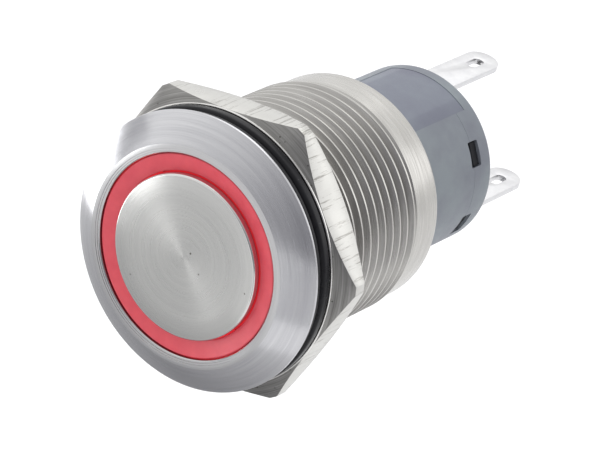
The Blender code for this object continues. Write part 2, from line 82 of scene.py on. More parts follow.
camera = bpy.data.objects.new("camera", bpy.data.cameras.new("camera"))
bpy.context.scene.collection.objects.link(camera)
camera.data.sensor_width = 36.0
camera.data.lens = 229.8
camera.data.clip_start = 10 * MM
camera.data.clip_end = 20.0
away = Vector((math.sin(CAMERA_TURN) * math.cos(CAMERA_RISE),
               -math.cos(CAMERA_TURN) * math.cos(CAMERA_RISE), math.sin(CAMERA_RISE)))
camera.matrix_world = (Matrix.Translation(LOOK_AT + away * CAMERA_DISTANCE)
                       @ (-away).to_track_quat("-Z", "Y").to_matrix().to_4x4()
                       @ Matrix.Rotation(CAMERA_ROLL, 4, "Z"))
bpy.context.scene.camera = camera
print("camera at", [round(value / MM, 1) for value in camera.matrix_world.translation], "mm")

# %% [markdown]
# ## Floor and light
#
# Turned steel has little colour of its own: it shows what stands round it. A pale floor well below the
# object gives the soft white from underneath. The world runs from grey at the front right to white at the
# left and back, like a white sweep. One soft box on the left makes the hard white patch on the bezel, a
# narrow strip makes the bright streak on the button, and two wide boxes lift the top and the back. Grey
# cards that only reflections see give the steel its darker bands, as cards on a real table do.

# %% Floor
def deselect_all():
    for other in bpy.context.selected_objects:
        other.select_set(False)


FLOOR_DEPTH = 90 * MM
deselect_all()
bpy.ops.mesh.primitive_plane_add(size=8.0, location=(0, 0, -FLOOR_DEPTH))
floor = bpy.context.object
floor.name = "floor"
floor_paint = bpy.data.materials.new("pale_floor")
floor_paint.use_nodes = True
floor_shader = floor_paint.node_tree.nodes["Principled BSDF"]
floor_shader.inputs["Base Color"].default_value = (0.93, 0.93, 0.935, 1.0)
floor_shader.inputs["Roughness"].default_value = 0.9
floor_shader.inputs["Emission Color"].default_value = (1.0, 1.0, 1.0, 1.0)
floor_shader.inputs["Emission Strength"].default_value = 0.12
floor.data.materials.append(floor_paint)


# %% World
def build_world():
    """Studio air: grey at the front right, white on the left and at the back."""
    world = bpy.data.worlds.new("studio")
    bpy.context.scene.world = world
    world.use_nodes = True
    nodes, links = world.node_tree.nodes, world.node_tree.links
    place = nodes.new("ShaderNodeTexCoord")
    toward_white = nodes.new("ShaderNodeVectorMath")
    toward_white.operation = "DOT_PRODUCT"
    toward_white.inputs[1].default_value = (-0.75, 0.65, 0.0)
    span = nodes.new("ShaderNodeMapRange")
    span.inputs["From Min"].default_value = -1.0
    ramp = nodes.new("ShaderNodeValToRGB")
    links.new(place.outputs["Generated"], toward_white.inputs[0])
    links.new(toward_white.outputs["Value"], span.inputs["Value"])
    links.new(span.outputs["Result"], ramp.inputs["Fac"])
    links.new(ramp.outputs["Color"], nodes["Background"].inputs["Color"])
    stops = ramp.color_ramp.elements
    stops[0].position, stops[0].color = 0.03, (0.24, 0.24, 0.26, 1.0)
    stops[1].position, stops[1].color = 0.62, (0.95, 0.95, 0.95, 1.0)
    middle = stops.new(0.32)
    middle.color = (0.66, 0.66, 0.67, 1.0)
    nodes["Background"].inputs["Strength"].default_value = 1.2


build_world()


# %% Soft boxes
def soft_box(name, direction, distance, size, power, turned=0.0):
    """An area light that looks at the object from one direction."""
    light = bpy.data.lights.new(name, "AREA")
    light.shape = "RECTANGLE"
    light.size, light.size_y = size
    light.energy = power
    lamp = bpy.data.objects.new(name, light)
    bpy.context.scene.collection.objects.link(lamp)
    toward = Vector(direction).normalized()
    lamp.matrix_world = (Matrix.Translation(toward * distance)
                         @ toward.to_track_quat("Z", "Y").to_matrix().to_4x4()
                         @ Matrix.Rotation(turned, 4, "Z"))
    lamp.visible_camera = False


soft_box("left_box", (-0.93, -0.03, -0.37), 0.15, (0.08, 0.08), 0.06, math.radians(45))
soft_box("streak_strip", (-0.68, -0.68, -0.27), 0.2, (0.03, 0.05), 0.02)
soft_box("top_box", (-0.3, 0.35, 1.0), 0.6, (0.5, 0.5), 0.8)
soft_box("back_box", (0.55, 0.75, 0.38), 0.7, (0.3, 0.3), 0.2)
bpy.context.scene.view_settings.view_transform = "Standard"


# %% Grey cards
def grey_paint(name, shade):
    """Matt paint of one grey."""
    paint = bpy.data.materials.new(name)
    paint.use_nodes = True
    shader = paint.node_tree.nodes["Principled BSDF"]
    shader.inputs["Base Color"].default_value = (shade, shade, shade * 1.03, 1.0)
    shader.inputs["Roughness"].default_value = 0.9
    return paint


def grey_card(name, centre, size, paint):
    """A square card that faces the object. It shows only in reflections and throws no shadow."""
    deselect_all()
    toward = Vector(centre) * MM
    bpy.ops.mesh.primitive_plane_add(size=size * MM, location=toward,
                                     rotation=toward.to_track_quat("Z", "Y").to_euler())
    card = bpy.context.object
    card.name = name
    card.data.materials.append(paint)
    card.visible_camera = False
    card.visible_shadow = False
    card.visible_diffuse = False


def shaded_paint(name):
    """Paint that is darkest in the middle of its card and fades to white at the rim."""
    paint = grey_paint(name, 0.5)
    nodes, links = paint.node_tree.nodes, paint.node_tree.links
    place = nodes.new("ShaderNodeTexCoord")
    reach = nodes.new("ShaderNodeVectorMath")
    reach.operation = "LENGTH"
    ramp = nodes.new("ShaderNodeValToRGB")
    span = nodes.new("ShaderNodeMapRange")
    span.inputs["From Max"].default_value = 0.075
    links.new(place.outputs["Object"], reach.inputs[0])
    links.new(reach.outputs["Value"], span.inputs["Value"])
    links.new(span.outputs["Result"], ramp.inputs["Fac"])
    links.new(ramp.outputs["Color"], nodes["Principled BSDF"].inputs["Base Color"])
    stops = ramp.color_ramp.elements
    stops[0].position, stops[0].color = 0.0, (0.30, 0.30, 0.31, 1.0)
    stops[1].position, stops[1].color = 1.0, (0.92, 0.92, 0.92, 1.0)
    middle = stops.new(0.35)
    middle.color = (0.52, 0.52, 0.53, 1.0)
    return paint


grey_card("card_below", (-12, -5, -46), 96, shaded_paint("card_shaded"))
grey_card("card_left", (-152, -52, -6), 50, grey_paint("card_light_grey", 0.5))
grey_card("card_right", (80, -114, -42), 78, grey_paint("card_mid_grey", 0.5))

# %% [markdown]
# ## Building finishes from nodes
#
# Each finish is a Principled shader fed by patterns worked out from the point's own place on the piece.
# A few short helpers keep the node trees readable: one adds a node and wires its sockets, and the others
# wrap the nodes used most. Places are scaled to millimetres first, so pattern sizes read as real sizes.


# %% Node helpers
def new_finish(name, colour, metallic, roughness, **sockets):
    """A material with its even values set straight on the Principled shader."""
    made = bpy.data.materials.new(name)
    made.use_nodes = True
    shader = made.node_tree.nodes["Principled BSDF"]
    shader.inputs["Base Color"].default_value = (*colour, 1.0)
    shader.inputs["Metallic"].default_value = metallic
    shader.inputs["Roughness"].default_value = roughness
    for socket, value in sockets.items():
        shader.inputs[socket.replace("_", " ")].default_value = value
    return made


def node(finish, kind, settings=None, **sockets):
    """Add a node. A socket is named, or i0, i1, i2 by its place, and takes an output or a value."""
    made = finish.node_tree.nodes.new("ShaderNode" + kind)
    for key, value in (settings or {}).items():
        setattr(made, key, value)
    for key, value in sockets.items():
        socket = made.inputs[int(key[1:])] if key[1:].isdigit() else made.inputs[key.replace("_", " ")]
        if isinstance(value, bpy.types.NodeSocket):
            finish.node_tree.links.new(value, socket)
        else:
            socket.default_value = value
    return made


def sums(finish, operation, first, second=0.0):
    """One Math node."""
    return node(finish, "Math", {"operation": operation}, i0=first, i1=second).outputs[0]


def spread(finish, value, low, high, out_low, out_high):
    """Map a value's range onto another, held at both ends."""
    return node(finish, "MapRange", None, Value=value, From_Min=low, From_Max=high,
                To_Min=out_low, To_Max=out_high).outputs["Result"]


def blend_colours(finish, factor, first, second):
    """Mix two colours by a factor."""
    made = node(finish, "Mix", {"data_type": "RGBA"}, i0=factor)
    for index, value in ((6, first), (7, second)):
        if isinstance(value, bpy.types.NodeSocket):
            finish.node_tree.links.new(value, made.inputs[index])
        else:
            made.inputs[index].default_value = (*value, 1.0)
    return made.outputs[2]


def noise(finish, vector, scale, detail=3.0, roughness=0.6):
    """Plain noise from 0 to 1."""
    return node(finish, "TexNoise", None, Vector=vector, Scale=scale, Detail=detail,
                Roughness=roughness).outputs[0]


def feed(finish, socket, value):
    """Wire an output into the Principled shader."""
    shader = finish.node_tree.nodes["Principled BSDF"]
    finish.node_tree.links.new(value, shader.inputs[socket])


def relief(finish, height, depth):
    """A bump of a given depth in metres."""
    return node(finish, "Bump", None, Height=height, Strength=1.0, Distance=depth).outputs["Normal"]


def in_millimetres(finish):
    """The point's place on the piece, in millimetres."""
    place = node(finish, "TexCoord").outputs["Object"]
    return node(finish, "VectorMath", {"operation": "SCALE"}, i0=place, Scale=1 / MM).outputs["Vector"]


# %% [markdown]
# Turned steel carries fine rings from the cutting tool or the polishing belt. The pattern has to change
# fast across the rings and slowly along them. So the point is described by how far it is along the
# profile, and by the direction it lies in seen from the axis, which has no seam at a full turn. The same
# helper gives the direction along the rings. The shader stretches its highlights along its tangent, so a
# quarter turn of the anisotropy makes them run across the rings, as they do on real turned metal.


# %% Places on a turned piece
def on_the_lathe(finish):
    """Distance along the profile in mm, direction from the axis, radius in mm and the ring direction."""
    place = in_millimetres(finish)
    split = node(finish, "SeparateXYZ", None, Vector=place)
    across = node(finish, "CombineXYZ", None, X=split.outputs["X"], Z=split.outputs["Z"]).outputs[0]
    radius = node(finish, "VectorMath", {"operation": "LENGTH"}, i0=across).outputs["Value"]
    outward = node(finish, "VectorMath", {"operation": "NORMALIZE"}, i0=across).outputs["Vector"]
    along = sums(finish, "ADD", radius, split.outputs["Y"])
    ring_way = node(finish, "VectorMath", {"operation": "CROSS_PRODUCT"}, i0=outward,
                    i1=(0.0, 1.0, 0.0)).outputs["Vector"]
    return along, outward, radius, ring_way


def ring_lines(finish, along, outward, fineness, drift, detail=4.0):
    """Streaks that follow the rings: fineness lines per mm across them, drift changes per turn along them."""
    scaled = node(finish, "VectorMath", {"operation": "SCALE"}, i0=outward, Scale=drift).outputs["Vector"]
    split = node(finish, "SeparateXYZ", None, Vector=scaled)
    vector = node(finish, "CombineXYZ", None, X=sums(finish, "MULTIPLY", along, fineness),
                  Y=split.outputs["X"], Z=split.outputs["Z"]).outputs[0]
    return noise(finish, vector, 1.0, detail, 0.65)


def brushed_steel(name, light, dark, roughness, fineness, drift, depth, stretch, share=0.6):
    """Turned steel: rings in colour, gloss and relief, with highlights stretched across them.

    Lines per mm, changes per turn and depth in mm describe the fine rings, whose share of the pattern is
    given. Broad rings make up the rest.
    """
    low, high = roughness
    finish = new_finish(name, light, 1.0, low, Anisotropic=stretch, Anisotropic_Rotation=0.25)
    along, outward, _, ring_way = on_the_lathe(finish)
    fine = ring_lines(finish, along, outward, fineness, drift)
    broad = ring_lines(finish, along, outward, fineness / 5, drift * 0.8, 2.0)
    mixed = sums(finish, "ADD", sums(finish, "MULTIPLY", fine, share),
                 sums(finish, "MULTIPLY", broad, 1 - share))
    factor = spread(finish, mixed, 0.35, 0.65, 0.0, 1.0)
    feed(finish, "Base Color", blend_colours(finish, factor, dark, light))
    feed(finish, "Roughness", spread(finish, fine, 0.3, 0.7, high, low))
    feed(finish, "Normal", relief(finish, mixed, depth * MM))
    feed(finish, "Tangent", ring_way)
    return finish


# %% [markdown]
# ## Modelling helpers
#
# Most pieces are turned on a lathe, so most are made one way: one vertex is extruded from point to point
# to draw half of the section, which is then spun round the Y axis. Sharp corners get a small bevel
# afterwards, because a real machined edge is never perfectly sharp and the bevel is what catches light.


# %% Selecting, editing and finishing a mesh
def take_up(obj):
    """Make one object the only selected and the active one."""
    deselect_all()
    obj.select_set(True)
    bpy.context.view_layer.objects.active = obj


def start_edit(obj):
    take_up(obj)
    bpy.ops.object.mode_set(mode="EDIT")


def end_edit():
    bpy.ops.object.mode_set(mode="OBJECT")


def select_where(obj, test, kind="verts"):
    """In edit mode, select only the vertices, edges or faces that pass a test."""
    bpy.ops.mesh.select_mode(type={"verts": "VERT", "edges": "EDGE", "faces": "FACE"}[kind])
    bpy.ops.mesh.select_all(action="DESELECT")
    bm = bmesh.from_edit_mesh(obj.data)
    for item in getattr(bm, kind):
        item.select = bool(test(item))
    bm.select_flush_mode()
    bmesh.update_edit_mesh(obj.data)


def edge_centre(edge):
    return (edge.verts[0].co + edge.verts[1].co) / 2


def apply_modifier(obj, kind, **settings):
    """Add one modifier and apply it."""
    modifier = obj.modifiers.new(kind.lower(), kind)
    for key, value in settings.items():
        setattr(modifier, key, value)
    take_up(obj)
    bpy.ops.object.modifier_apply(modifier=modifier.name)


def cut(obj, *tools, operation="DIFFERENCE"):
    """Combine with each tool by an exact Boolean, then remove the tool."""
    for tool in tools:
        apply_modifier(obj, "BOOLEAN", operation=operation, solver="EXACT", object=tool)
        bpy.data.objects.remove(tool, do_unlink=True)


def break_edges(obj, width, segments=2, angle=30):
    """Small bevel on every sharp edge."""
    apply_modifier(obj, "BEVEL", width=width, segments=segments, limit_method="ANGLE",
                   angle_limit=math.radians(angle), miter_outer="MITER_ARC")


def face_outwards(obj):
    """Weld doubles and turn the faces outwards."""
    start_edit(obj)
    bpy.ops.mesh.select_all(action="SELECT")
    bpy.ops.mesh.remove_doubles(threshold=0.001 * MM)
    bpy.ops.mesh.normals_make_consistent(inside=False)
    end_edit()


def settle(obj, finishes, body, replaced, smooth=32):
    """Shade a finished piece, give it its materials and hang it on its body."""
    take_up(obj)
    bpy.ops.object.transform_apply(location=True, rotation=True, scale=True)
    bpy.ops.object.shade_smooth_by_angle(angle=math.radians(smooth))
    if not obj.data.materials:
        for finish in finishes:
            obj.data.materials.append(finish)
    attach(obj, body)
    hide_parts(*replaced)
    open_edges = sum(1 for count in edge_use(obj) if count != 2)
    print(f"{obj.name}: {len(obj.data.polygons)} faces, {open_edges} open edges")


def edge_use(obj):
    """How many faces meet at each edge."""
    bm = bmesh.new()
    bm.from_mesh(obj.data)
    counts = [len(edge.link_faces) for edge in bm.edges]
    bm.free()
    return counts


# %% Drawing a section and spinning it
def draw_section(name, points):
    """Extrude one vertex through (radius, y) points in mm."""
    deselect_all()
    bpy.ops.mesh.primitive_plane_add(size=1 * MM, location=(0, 0, 0))
    obj = bpy.context.object
    obj.name = name
    bpy.ops.object.mode_set(mode="EDIT")
    bpy.ops.mesh.select_mode(type="VERT")
    bpy.ops.mesh.select_all(action="SELECT")
    bpy.ops.mesh.merge(type="CENTER")
    here = (0.0, 0.0)
    for index, there in enumerate(points):
        step = ((there[0] - here[0]) * MM, (there[1] - here[1]) * MM, 0)
        if index:
            bpy.ops.mesh.extrude_vertices_move(TRANSFORM_OT_translate={"value": step})
        else:
            bpy.ops.transform.translate(value=step)
        here = there
    return obj


def spin(name, points, steps=192):
    """A turned solid: the section is closed into a loop, unless it starts and ends on the axis."""
    on_axis = abs(points[0][0]) < 1e-9 and abs(points[-1][0]) < 1e-9
    obj = draw_section(name, points)
    if not on_axis:
        select_where(obj, lambda v: len(v.link_edges) == 1)
        bpy.ops.mesh.edge_face_add()
    bpy.ops.mesh.select_all(action="SELECT")
    bpy.ops.mesh.spin(steps=steps, angle=2 * math.pi, center=(0, 0, 0), axis=(0, 1, 0))
    end_edit()
    face_outwards(obj)
    return obj


def arc_points(centre, radius, start, end, steps):
    """Points of an arc in the section, angles in degrees."""
    angles = [math.radians(start + (end - start) * k / steps) for k in range(steps + 1)]
    return [(centre[0] + radius * math.cos(a), centre[1] + radius * math.sin(a)) for a in angles]


# %% [markdown]
# ## The bezel and its barrel
#
# The real bezel is one bar of stainless steel, turned in one setting: a flange with a conical face, a
# narrow polished lip with two fine steps, a bore, and a long M19 thread that stops at a plain band. The
# body is one spun section. The thread is a ridge of trapezoid section that a Screw modifier winds round
# the axis, trimmed flat at both ends and joined to the body, which is how a die leaves it: a true helix.

# %% Sizes of the bezel
FLANGE_R, LIP_Y, BARREL_END = turned_size("bezel_body")
RING_R, RING_Y, RING_END = turned_size("light_ring")
LIP_R = 8.75
RING_GAP = 0.07
RING_R += 0.04
BORE_LIP = RING_R + RING_GAP
BORE_R = 7.65
RIM = 0.25
CREST_R, ROOT_R, PITCH = 9.45, 8.95, 1.0
CREST_FLAT = 0.16
THREAD_STEPS = 128
FLANK = math.radians(30)
BAND_R, BAND_Y = 9.25, 15.8
RING_SEAT = RING_END + 0.3
print("flange radius", round(FLANGE_R, 2), "barrel end", round(BARREL_END, 2))

# %% The turned body
bezel = spin("bezel_body_fine", [
    (BORE_R, RING_SEAT), (BORE_LIP, RING_SEAT), (BORE_LIP, LIP_Y + 0.16), (BORE_LIP + 0.07, LIP_Y + 0.09),
    (BORE_LIP + 0.17, LIP_Y + 0.09), (BORE_LIP + 0.19, LIP_Y + 0.045), (BORE_LIP + 0.33, LIP_Y + 0.045),
    (BORE_LIP + 0.35, LIP_Y), (LIP_R - 0.03, LIP_Y), (LIP_R + 0.02, LIP_Y + 0.012),
    (FLANGE_R - 0.1, -RIM - 0.04), (FLANGE_R - 0.02, -RIM + 0.02), (FLANGE_R, -RIM + 0.08),
    (FLANGE_R, -0.06), (FLANGE_R - 0.06, 0.0), (ROOT_R + 0.1, 0.0), (ROOT_R, 0.1), (ROOT_R, BAND_Y - 0.18),
    (BAND_R - 0.05, BAND_Y)] + arc_points((BAND_R - 0.45, BARREL_END - 0.45), 0.45, 0, 90, 6) + [
    (BORE_R + 0.15, BARREL_END), (BORE_R, BARREL_END - 0.15)])


# %% The thread
def thread_ridge(name, tip, base, start, turns, tip_flat=CREST_FLAT):
    """A closed ridge of trapezoid section, wound right-handed round Y from a first y, in mm."""
    half_tip = tip_flat / 2
    half_base = half_tip + abs(tip - base) * math.tan(FLANK)
    obj = draw_section(name, [(base, start - half_base), (base, start + half_base),
                              (tip, start + half_tip), (tip, start - half_tip)])
    select_where(obj, lambda v: len(v.link_edges) == 1)
    bpy.ops.mesh.edge_face_add()
    end_edit()
    apply_modifier(obj, "SCREW", axis="Y", angle=2 * math.pi, screw_offset=PITCH * MM, iterations=turns,
                   steps=THREAD_STEPS, render_steps=THREAD_STEPS, use_merge_vertices=False)
    start_edit(obj)
    bpy.ops.mesh.select_mode(type="EDGE")
    bpy.ops.mesh.select_all(action="DESELECT")
    bpy.ops.mesh.select_non_manifold(extend=False, use_wire=False, use_multi_face=False,
                                     use_non_contiguous=False, use_verts=False)
    bpy.ops.mesh.fill_holes(sides=4)
    end_edit()
    face_outwards(obj)
    return obj


def trim(obj, y, keep_front):
    """Slice a solid flat at a plane of constant y, in mm, and keep one side."""
    start_edit(obj)
    bpy.ops.mesh.select_all(action="SELECT")
    bpy.ops.mesh.bisect(plane_co=(0, y * MM, 0), plane_no=(0, 1, 0), use_fill=True, threshold=1e-7,
                        clear_outer=keep_front, clear_inner=not keep_front)
    end_edit()


THREAD_START = 0.2
ridge = thread_ridge("thread_ridge", CREST_R, ROOT_R - 0.12, THREAD_START, 16)
trim(ridge, 0.5, keep_front=False)
trim(ridge, BAND_Y - 0.22, keep_front=True)
cut(bezel, ridge, operation="UNION")
print("thread crest radius", CREST_R, "mm, pitch", PITCH, "mm")

# %% [markdown]
# The bezel wears four finishes. The cone is belt-brushed in rings and shows broad bright and dark sweeps.
# The lip was faced last, with finer lines. The thread, band and bore are as cut: satin and a touch warmer.
# The flanks of the thread are painted a shade darker, as painted shade in the grooves between the crests.
# Faces are sorted by where they lie.

# %% Bezel finishes
cone_steel = brushed_steel("steel_cone", (0.62, 0.62, 0.635), (0.49, 0.49, 0.51), (0.17, 0.28), 10.0, 1.1,
                           0.004, 0.85, share=0.58)
lip_steel = brushed_steel("steel_lip", (0.56, 0.56, 0.56), (0.47, 0.47, 0.48), (0.2, 0.28), 14.0, 0.8,
                          0.002, 0.8)
barrel_steel = brushed_steel("steel_barrel", (0.58, 0.57, 0.545), (0.42, 0.41, 0.39), (0.22, 0.34), 12.0, 2.5,
                             0.003, 0.35)
# Painted shade: a darker steel on the thread's flanks makes the grooves between the crests read as shaded.
flank_steel_painted_shade = brushed_steel("steel_flank_painted_shade", (0.50, 0.49, 0.47), (0.36, 0.35, 0.335), (0.24, 0.36), 12.0, 2.5,
                            0.003, 0.35)
for finish in (cone_steel, lip_steel, barrel_steel, flank_steel_painted_shade):
    bezel.data.materials.append(finish)
for face in bezel.data.polygons:
    radius = math.hypot(face.center.x, face.center.z) / MM
    on_flank = ROOT_R + 0.03 < radius < CREST_R - 0.03 and 0.3 < abs(face.normal.y) < 0.97
    if on_flank and 0.02 < face.center.y / MM < BAND_Y - 0.3:
        face.material_index = 3
    elif face.center.y / MM > 0.02:
        face.material_index = 2
    elif radius < LIP_R + 0.02:
        face.material_index = 1
settle(bezel, [], "housing", ["bezel_body"])

# %% [markdown]
# ## The light ring
#
# A moulded ring of red, slightly milky acrylic sits just below the lip, with lamps behind it. It is a spun
# section with rounded shoulders, dished a little towards the button. Its finish lets some light travel under
# the surface. A faint glow painted on its face stands in for the lamps' light and evens its shading, and a
# stronger painted glow on its walls puts red light into the gaps beside the button and the lip. Both rims
# are darkened as painted shade from those narrow gaps.

# %% Light ring
BUTTON_R, BUTTON_Y, BOSS_END = turned_size("button_cap")
ring_inner = BUTTON_R + RING_GAP
DISH = 0.27
ring = spin("light_ring_fine", [
    (ring_inner, RING_END), (ring_inner, RING_Y + DISH + 0.1), (ring_inner + 0.03, RING_Y + DISH + 0.03),
    (ring_inner + 0.1, RING_Y + DISH), (RING_R - 0.13, RING_Y), (RING_R - 0.04, RING_Y + 0.04),
    (RING_R, RING_Y + 0.14), (RING_R, RING_END)])


def ring_finish():
    """Coral face with a faint painted glow, rims darkened as painted shade, and walls with a stronger painted
    glow.
    """
    finish = new_finish("ring_acrylic", (0.64, 0.062, 0.09), 0.0, 0.34, Subsurface_Weight=0.25,
                        Subsurface_Scale=0.4 * MM)
    along, outward_way, radius, _ = on_the_lathe(finish)
    middle = (ring_inner + RING_R) / 2
    from_middle = sums(finish, "ABSOLUTE", sums(finish, "SUBTRACT", radius, middle))
    rim = spread(finish, from_middle, 0.62, (RING_R - ring_inner) / 2, 0.0, 1.0)
    cloudy = noise(finish, in_millimetres(finish), 0.8, 2.0)
    red = blend_colours(finish, spread(finish, cloudy, 0.3, 0.7, 0.0, 1.0), (0.61, 0.058, 0.083),
                        (0.67, 0.075, 0.10))
    # Painted shade: the outer part of the face, next to the button and next to the lip, is darkened towards
    # dark red.
    red_with_rim_shade = blend_colours(finish, rim, red, (0.30, 0.008, 0.018))
    depth = node(finish, "SeparateXYZ", None, Vector=in_millimetres(finish)).outputs["Y"]
    wall = spread(finish, depth, RING_Y + DISH + 0.02, RING_Y + DISH + 0.1, 0.0, 1.0)
    feed(finish, "Base Color", red_with_rim_shade)
    # Painted light: a faint glow on the face stands in for the lamps' light and evens its shading, and a
    # strong glow on the walls lights the gaps beside the button and the lip in red.
    feed(finish, "Emission Color", blend_colours(finish, wall, red_with_rim_shade, (0.80, 0.02, 0.03)))
    feed(finish, "Emission Strength", spread(finish, wall, 0.0, 1.0, 0.18, 0.9))
    fine = ring_lines(finish, along, outward_way, 10.0, 1.0)
    feed(finish, "Roughness", spread(finish, fine, 0.3, 0.7, 0.30, 0.40))
    feed(finish, "Normal", relief(finish, fine, 0.001 * MM))
    return finish


settle(ring, [ring_finish()], "housing", ["light_ring"])

# %% [markdown]
# ## The button
#
# The cap is a steel disc, faced from the centre outwards so that every ring of the cut runs round the
# middle. Such a face always shows a bright bow-tie of light across its centre. It has a small chamfer at
# its edge, a boss behind it and a bore for the plunger's pin. The face is spun from a section whose flat
# is divided into rings, so the fine waviness of a faced surface can be real shape too.

# %% Button cap
DISC = 1.1
BOSS_R = 3.0
PIN_BORE = 1.8
button = spin("button_cap_fine", [
    (0.0, BUTTON_Y + 0.012), (0.6, BUTTON_Y + 0.012), (1.6, BUTTON_Y + 0.010), (3.2, BUTTON_Y + 0.006),
    (4.8, BUTTON_Y + 0.002), (BUTTON_R - 0.16, BUTTON_Y), (BUTTON_R - 0.10, BUTTON_Y + 0.015),
    (BUTTON_R - 0.02, BUTTON_Y + 0.09), (BUTTON_R, BUTTON_Y + 0.16), (BUTTON_R, BUTTON_Y + DISC - 0.08),
    (BUTTON_R - 0.08, BUTTON_Y + DISC), (BOSS_R + 0.15, BUTTON_Y + DISC), (BOSS_R, BUTTON_Y + DISC + 0.15),
    (BOSS_R, BOSS_END - 0.12), (BOSS_R - 0.12, BOSS_END), (PIN_BORE + 0.1, BOSS_END),
    (PIN_BORE, BOSS_END - 0.1), (PIN_BORE, BUTTON_Y + DISC + 0.2), (0.0, BUTTON_Y + DISC + 0.2)])


def button_finish():
    """Spun face: strong ring lines, fading streaks, a few tiny pits, a warm grey tone."""
    finish = brushed_steel("steel_button", (0.535, 0.535, 0.52), (0.485, 0.485, 0.475), (0.23, 0.29), 9.0,
                           0.5, 0.0006, 0.85, share=0.7)
    place = in_millimetres(finish)
    specks = node(finish, "TexVoronoi", None, Vector=place, Scale=0.55).outputs["Distance"]
    pit = spread(finish, specks, 0.03, 0.06, 1.0, 0.0)
    steel = finish.node_tree.nodes["Principled BSDF"].inputs["Base Color"].links[0].from_socket
    feed(finish, "Base Color", blend_colours(finish, pit, steel, (0.12, 0.11, 0.1)))
    return finish


rim_steel = brushed_steel("steel_rim", (0.70, 0.69, 0.675), (0.62, 0.61, 0.595), (0.12, 0.2), 14.0, 0.8,
                          0.001, 0.2)
button.data.materials.append(button_finish())
button.data.materials.append(rim_steel)
for face in button.data.polygons:
    on_rim = math.hypot(face.center.x, face.center.z) / MM > BUTTON_R - 0.15
    face.material_index = 1 if on_rim and face.center.y / MM < BUTTON_Y + DISC else 0
settle(button, [], "button", ["button_cap"])

# %% [markdown]
# ## Rubber gasket and washer
#
# The gasket is moulded rubber with two lips and a groove between them. It fills the room between flange
# and washer and shows as a black band. The washer behind it is stamped from thin sheet, and shows only as
# a bright line. Both are spun sections. The rubber has a soft mould grain and a little dust.

# %% Gasket
GASKET_R = turned_size("gasket")[0]
GASKET_BORE = 9.75
GASKET_Y, GASKET_END = 0.03, 1.62
GROOVE_Y = 0.72
small_lip = GASKET_R - 0.14
gasket = spin("gasket_fine", [
    (GASKET_BORE, GASKET_Y + 0.05), (GASKET_BORE + 0.05, GASKET_Y), (small_lip - 0.2, GASKET_Y)]
    + arc_points((small_lip - 0.2, GASKET_Y + 0.2), 0.2, -90, 0, 5)
    + arc_points((small_lip - 0.16, GROOVE_Y - 0.26), 0.16, 0, 70, 4)
    + [(small_lip - 0.2, GROOVE_Y), (GASKET_R - 0.2, GROOVE_Y + 0.08)]
    + arc_points((GASKET_R - 0.24, GROOVE_Y + 0.32), 0.24, -60, 0, 4)
    + arc_points((GASKET_R - 0.2, GASKET_END - 0.2), 0.2, 0, 90, 5)
    + [(GASKET_BORE + 0.05, GASKET_END), (GASKET_BORE, GASKET_END - 0.05)])


def rubber_finish(name, dusty=True):
    finish = new_finish(name, (0.012, 0.012, 0.014), 0.0, 0.32, Specular_IOR_Level=0.2)
    place = in_millimetres(finish)
    grain = noise(finish, place, 6.0, 4.0)
    broad = noise(finish, place, 0.9, 2.0)
    feed(finish, "Roughness", spread(finish, broad, 0.3, 0.7, 0.24, 0.38))
    feed(finish, "Normal", relief(finish, grain, 0.006 * MM))
    black = blend_colours(finish, broad, (0.008, 0.008, 0.010), (0.02, 0.02, 0.023))
    if dusty:
        flecks = node(finish, "TexVoronoi", None, Vector=place, Scale=1.4).outputs["Distance"]
        black = blend_colours(finish, spread(finish, flecks, 0.035, 0.06, 0.6, 0.0), black, (0.3, 0.3, 0.32))
    feed(finish, "Base Color", black)
    return finish


gasket_rubber = rubber_finish("gasket_rubber")
settle(gasket, [gasket_rubber], "housing", ["gasket"])

# %% Washer
WASHER_R = turned_size("nut_washer")[0]
WASHER_Y, WASHER_END = 1.65, 1.85
EASE = 0.05
washer = spin("nut_washer_fine", [
    (GASKET_BORE, WASHER_Y + EASE), (GASKET_BORE + EASE, WASHER_Y), (WASHER_R - EASE, WASHER_Y),
    (WASHER_R, WASHER_Y + EASE), (WASHER_R, WASHER_END - EASE), (WASHER_R - EASE, WASHER_END),
    (GASKET_BORE + EASE, WASHER_END), (GASKET_BORE, WASHER_END - EASE)])
washer_steel = brushed_steel("washer_nickel", (0.78, 0.77, 0.75), (0.66, 0.65, 0.63), (0.2, 0.32), 8.0, 3.0,
                             0.002, 0.3)
settle(washer, [washer_steel], "nut_carrier", ["nut_washer"])

# %% [markdown]
# ## The nut
#
# A panel nut is parted off a hexagon bar and chamfered at 30 degrees at both ends with a coarse tool, so
# its corners show grey cones with fine arcs and small pits. Its flats keep the drawn bar's bright skin with
# dark cross marks, and each ends in a curve. It starts as a six-sided cylinder, meets a turned blank that
# gives the corners and both chamfers, is bored and countersunk, and gets its own thread ridge, which runs
# in the barrel's groove.

# %% Nut body
NUT_Y, NUT_END = (corner.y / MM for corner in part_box("hex_nut"))
NUT_FLATS, NUT_CORNER, NUT_FACE = 22.0, 12.5, 10.92
NUT_TURN = math.radians(11.3)
NUT_BORE = 9.72
CHAMFER_SLOPE = math.tan(math.radians(30))
CHAMFER = (NUT_CORNER - NUT_FACE) * CHAMFER_SLOPE

deselect_all()
bpy.ops.mesh.primitive_cylinder_add(vertices=6, radius=NUT_FLATS / 2 / math.cos(math.pi / 6) * MM,
                                    depth=(NUT_END - NUT_Y) * MM, location=(0, (NUT_Y + NUT_END) / 2 * MM, 0),
                                    rotation=(math.pi / 2, 0, 0))
nut = bpy.context.object
nut.name = "hex_nut_fine"
bpy.ops.object.transform_apply(location=True, rotation=True, scale=True)
first_corner = max(nut.data.vertices, key=lambda v: (round(v.co.x, 6), v.co.z)).co
correction = math.atan2(first_corner.z, first_corner.x) - NUT_TURN
nut.data.transform(Matrix.Rotation(correction, 4, "Y"))

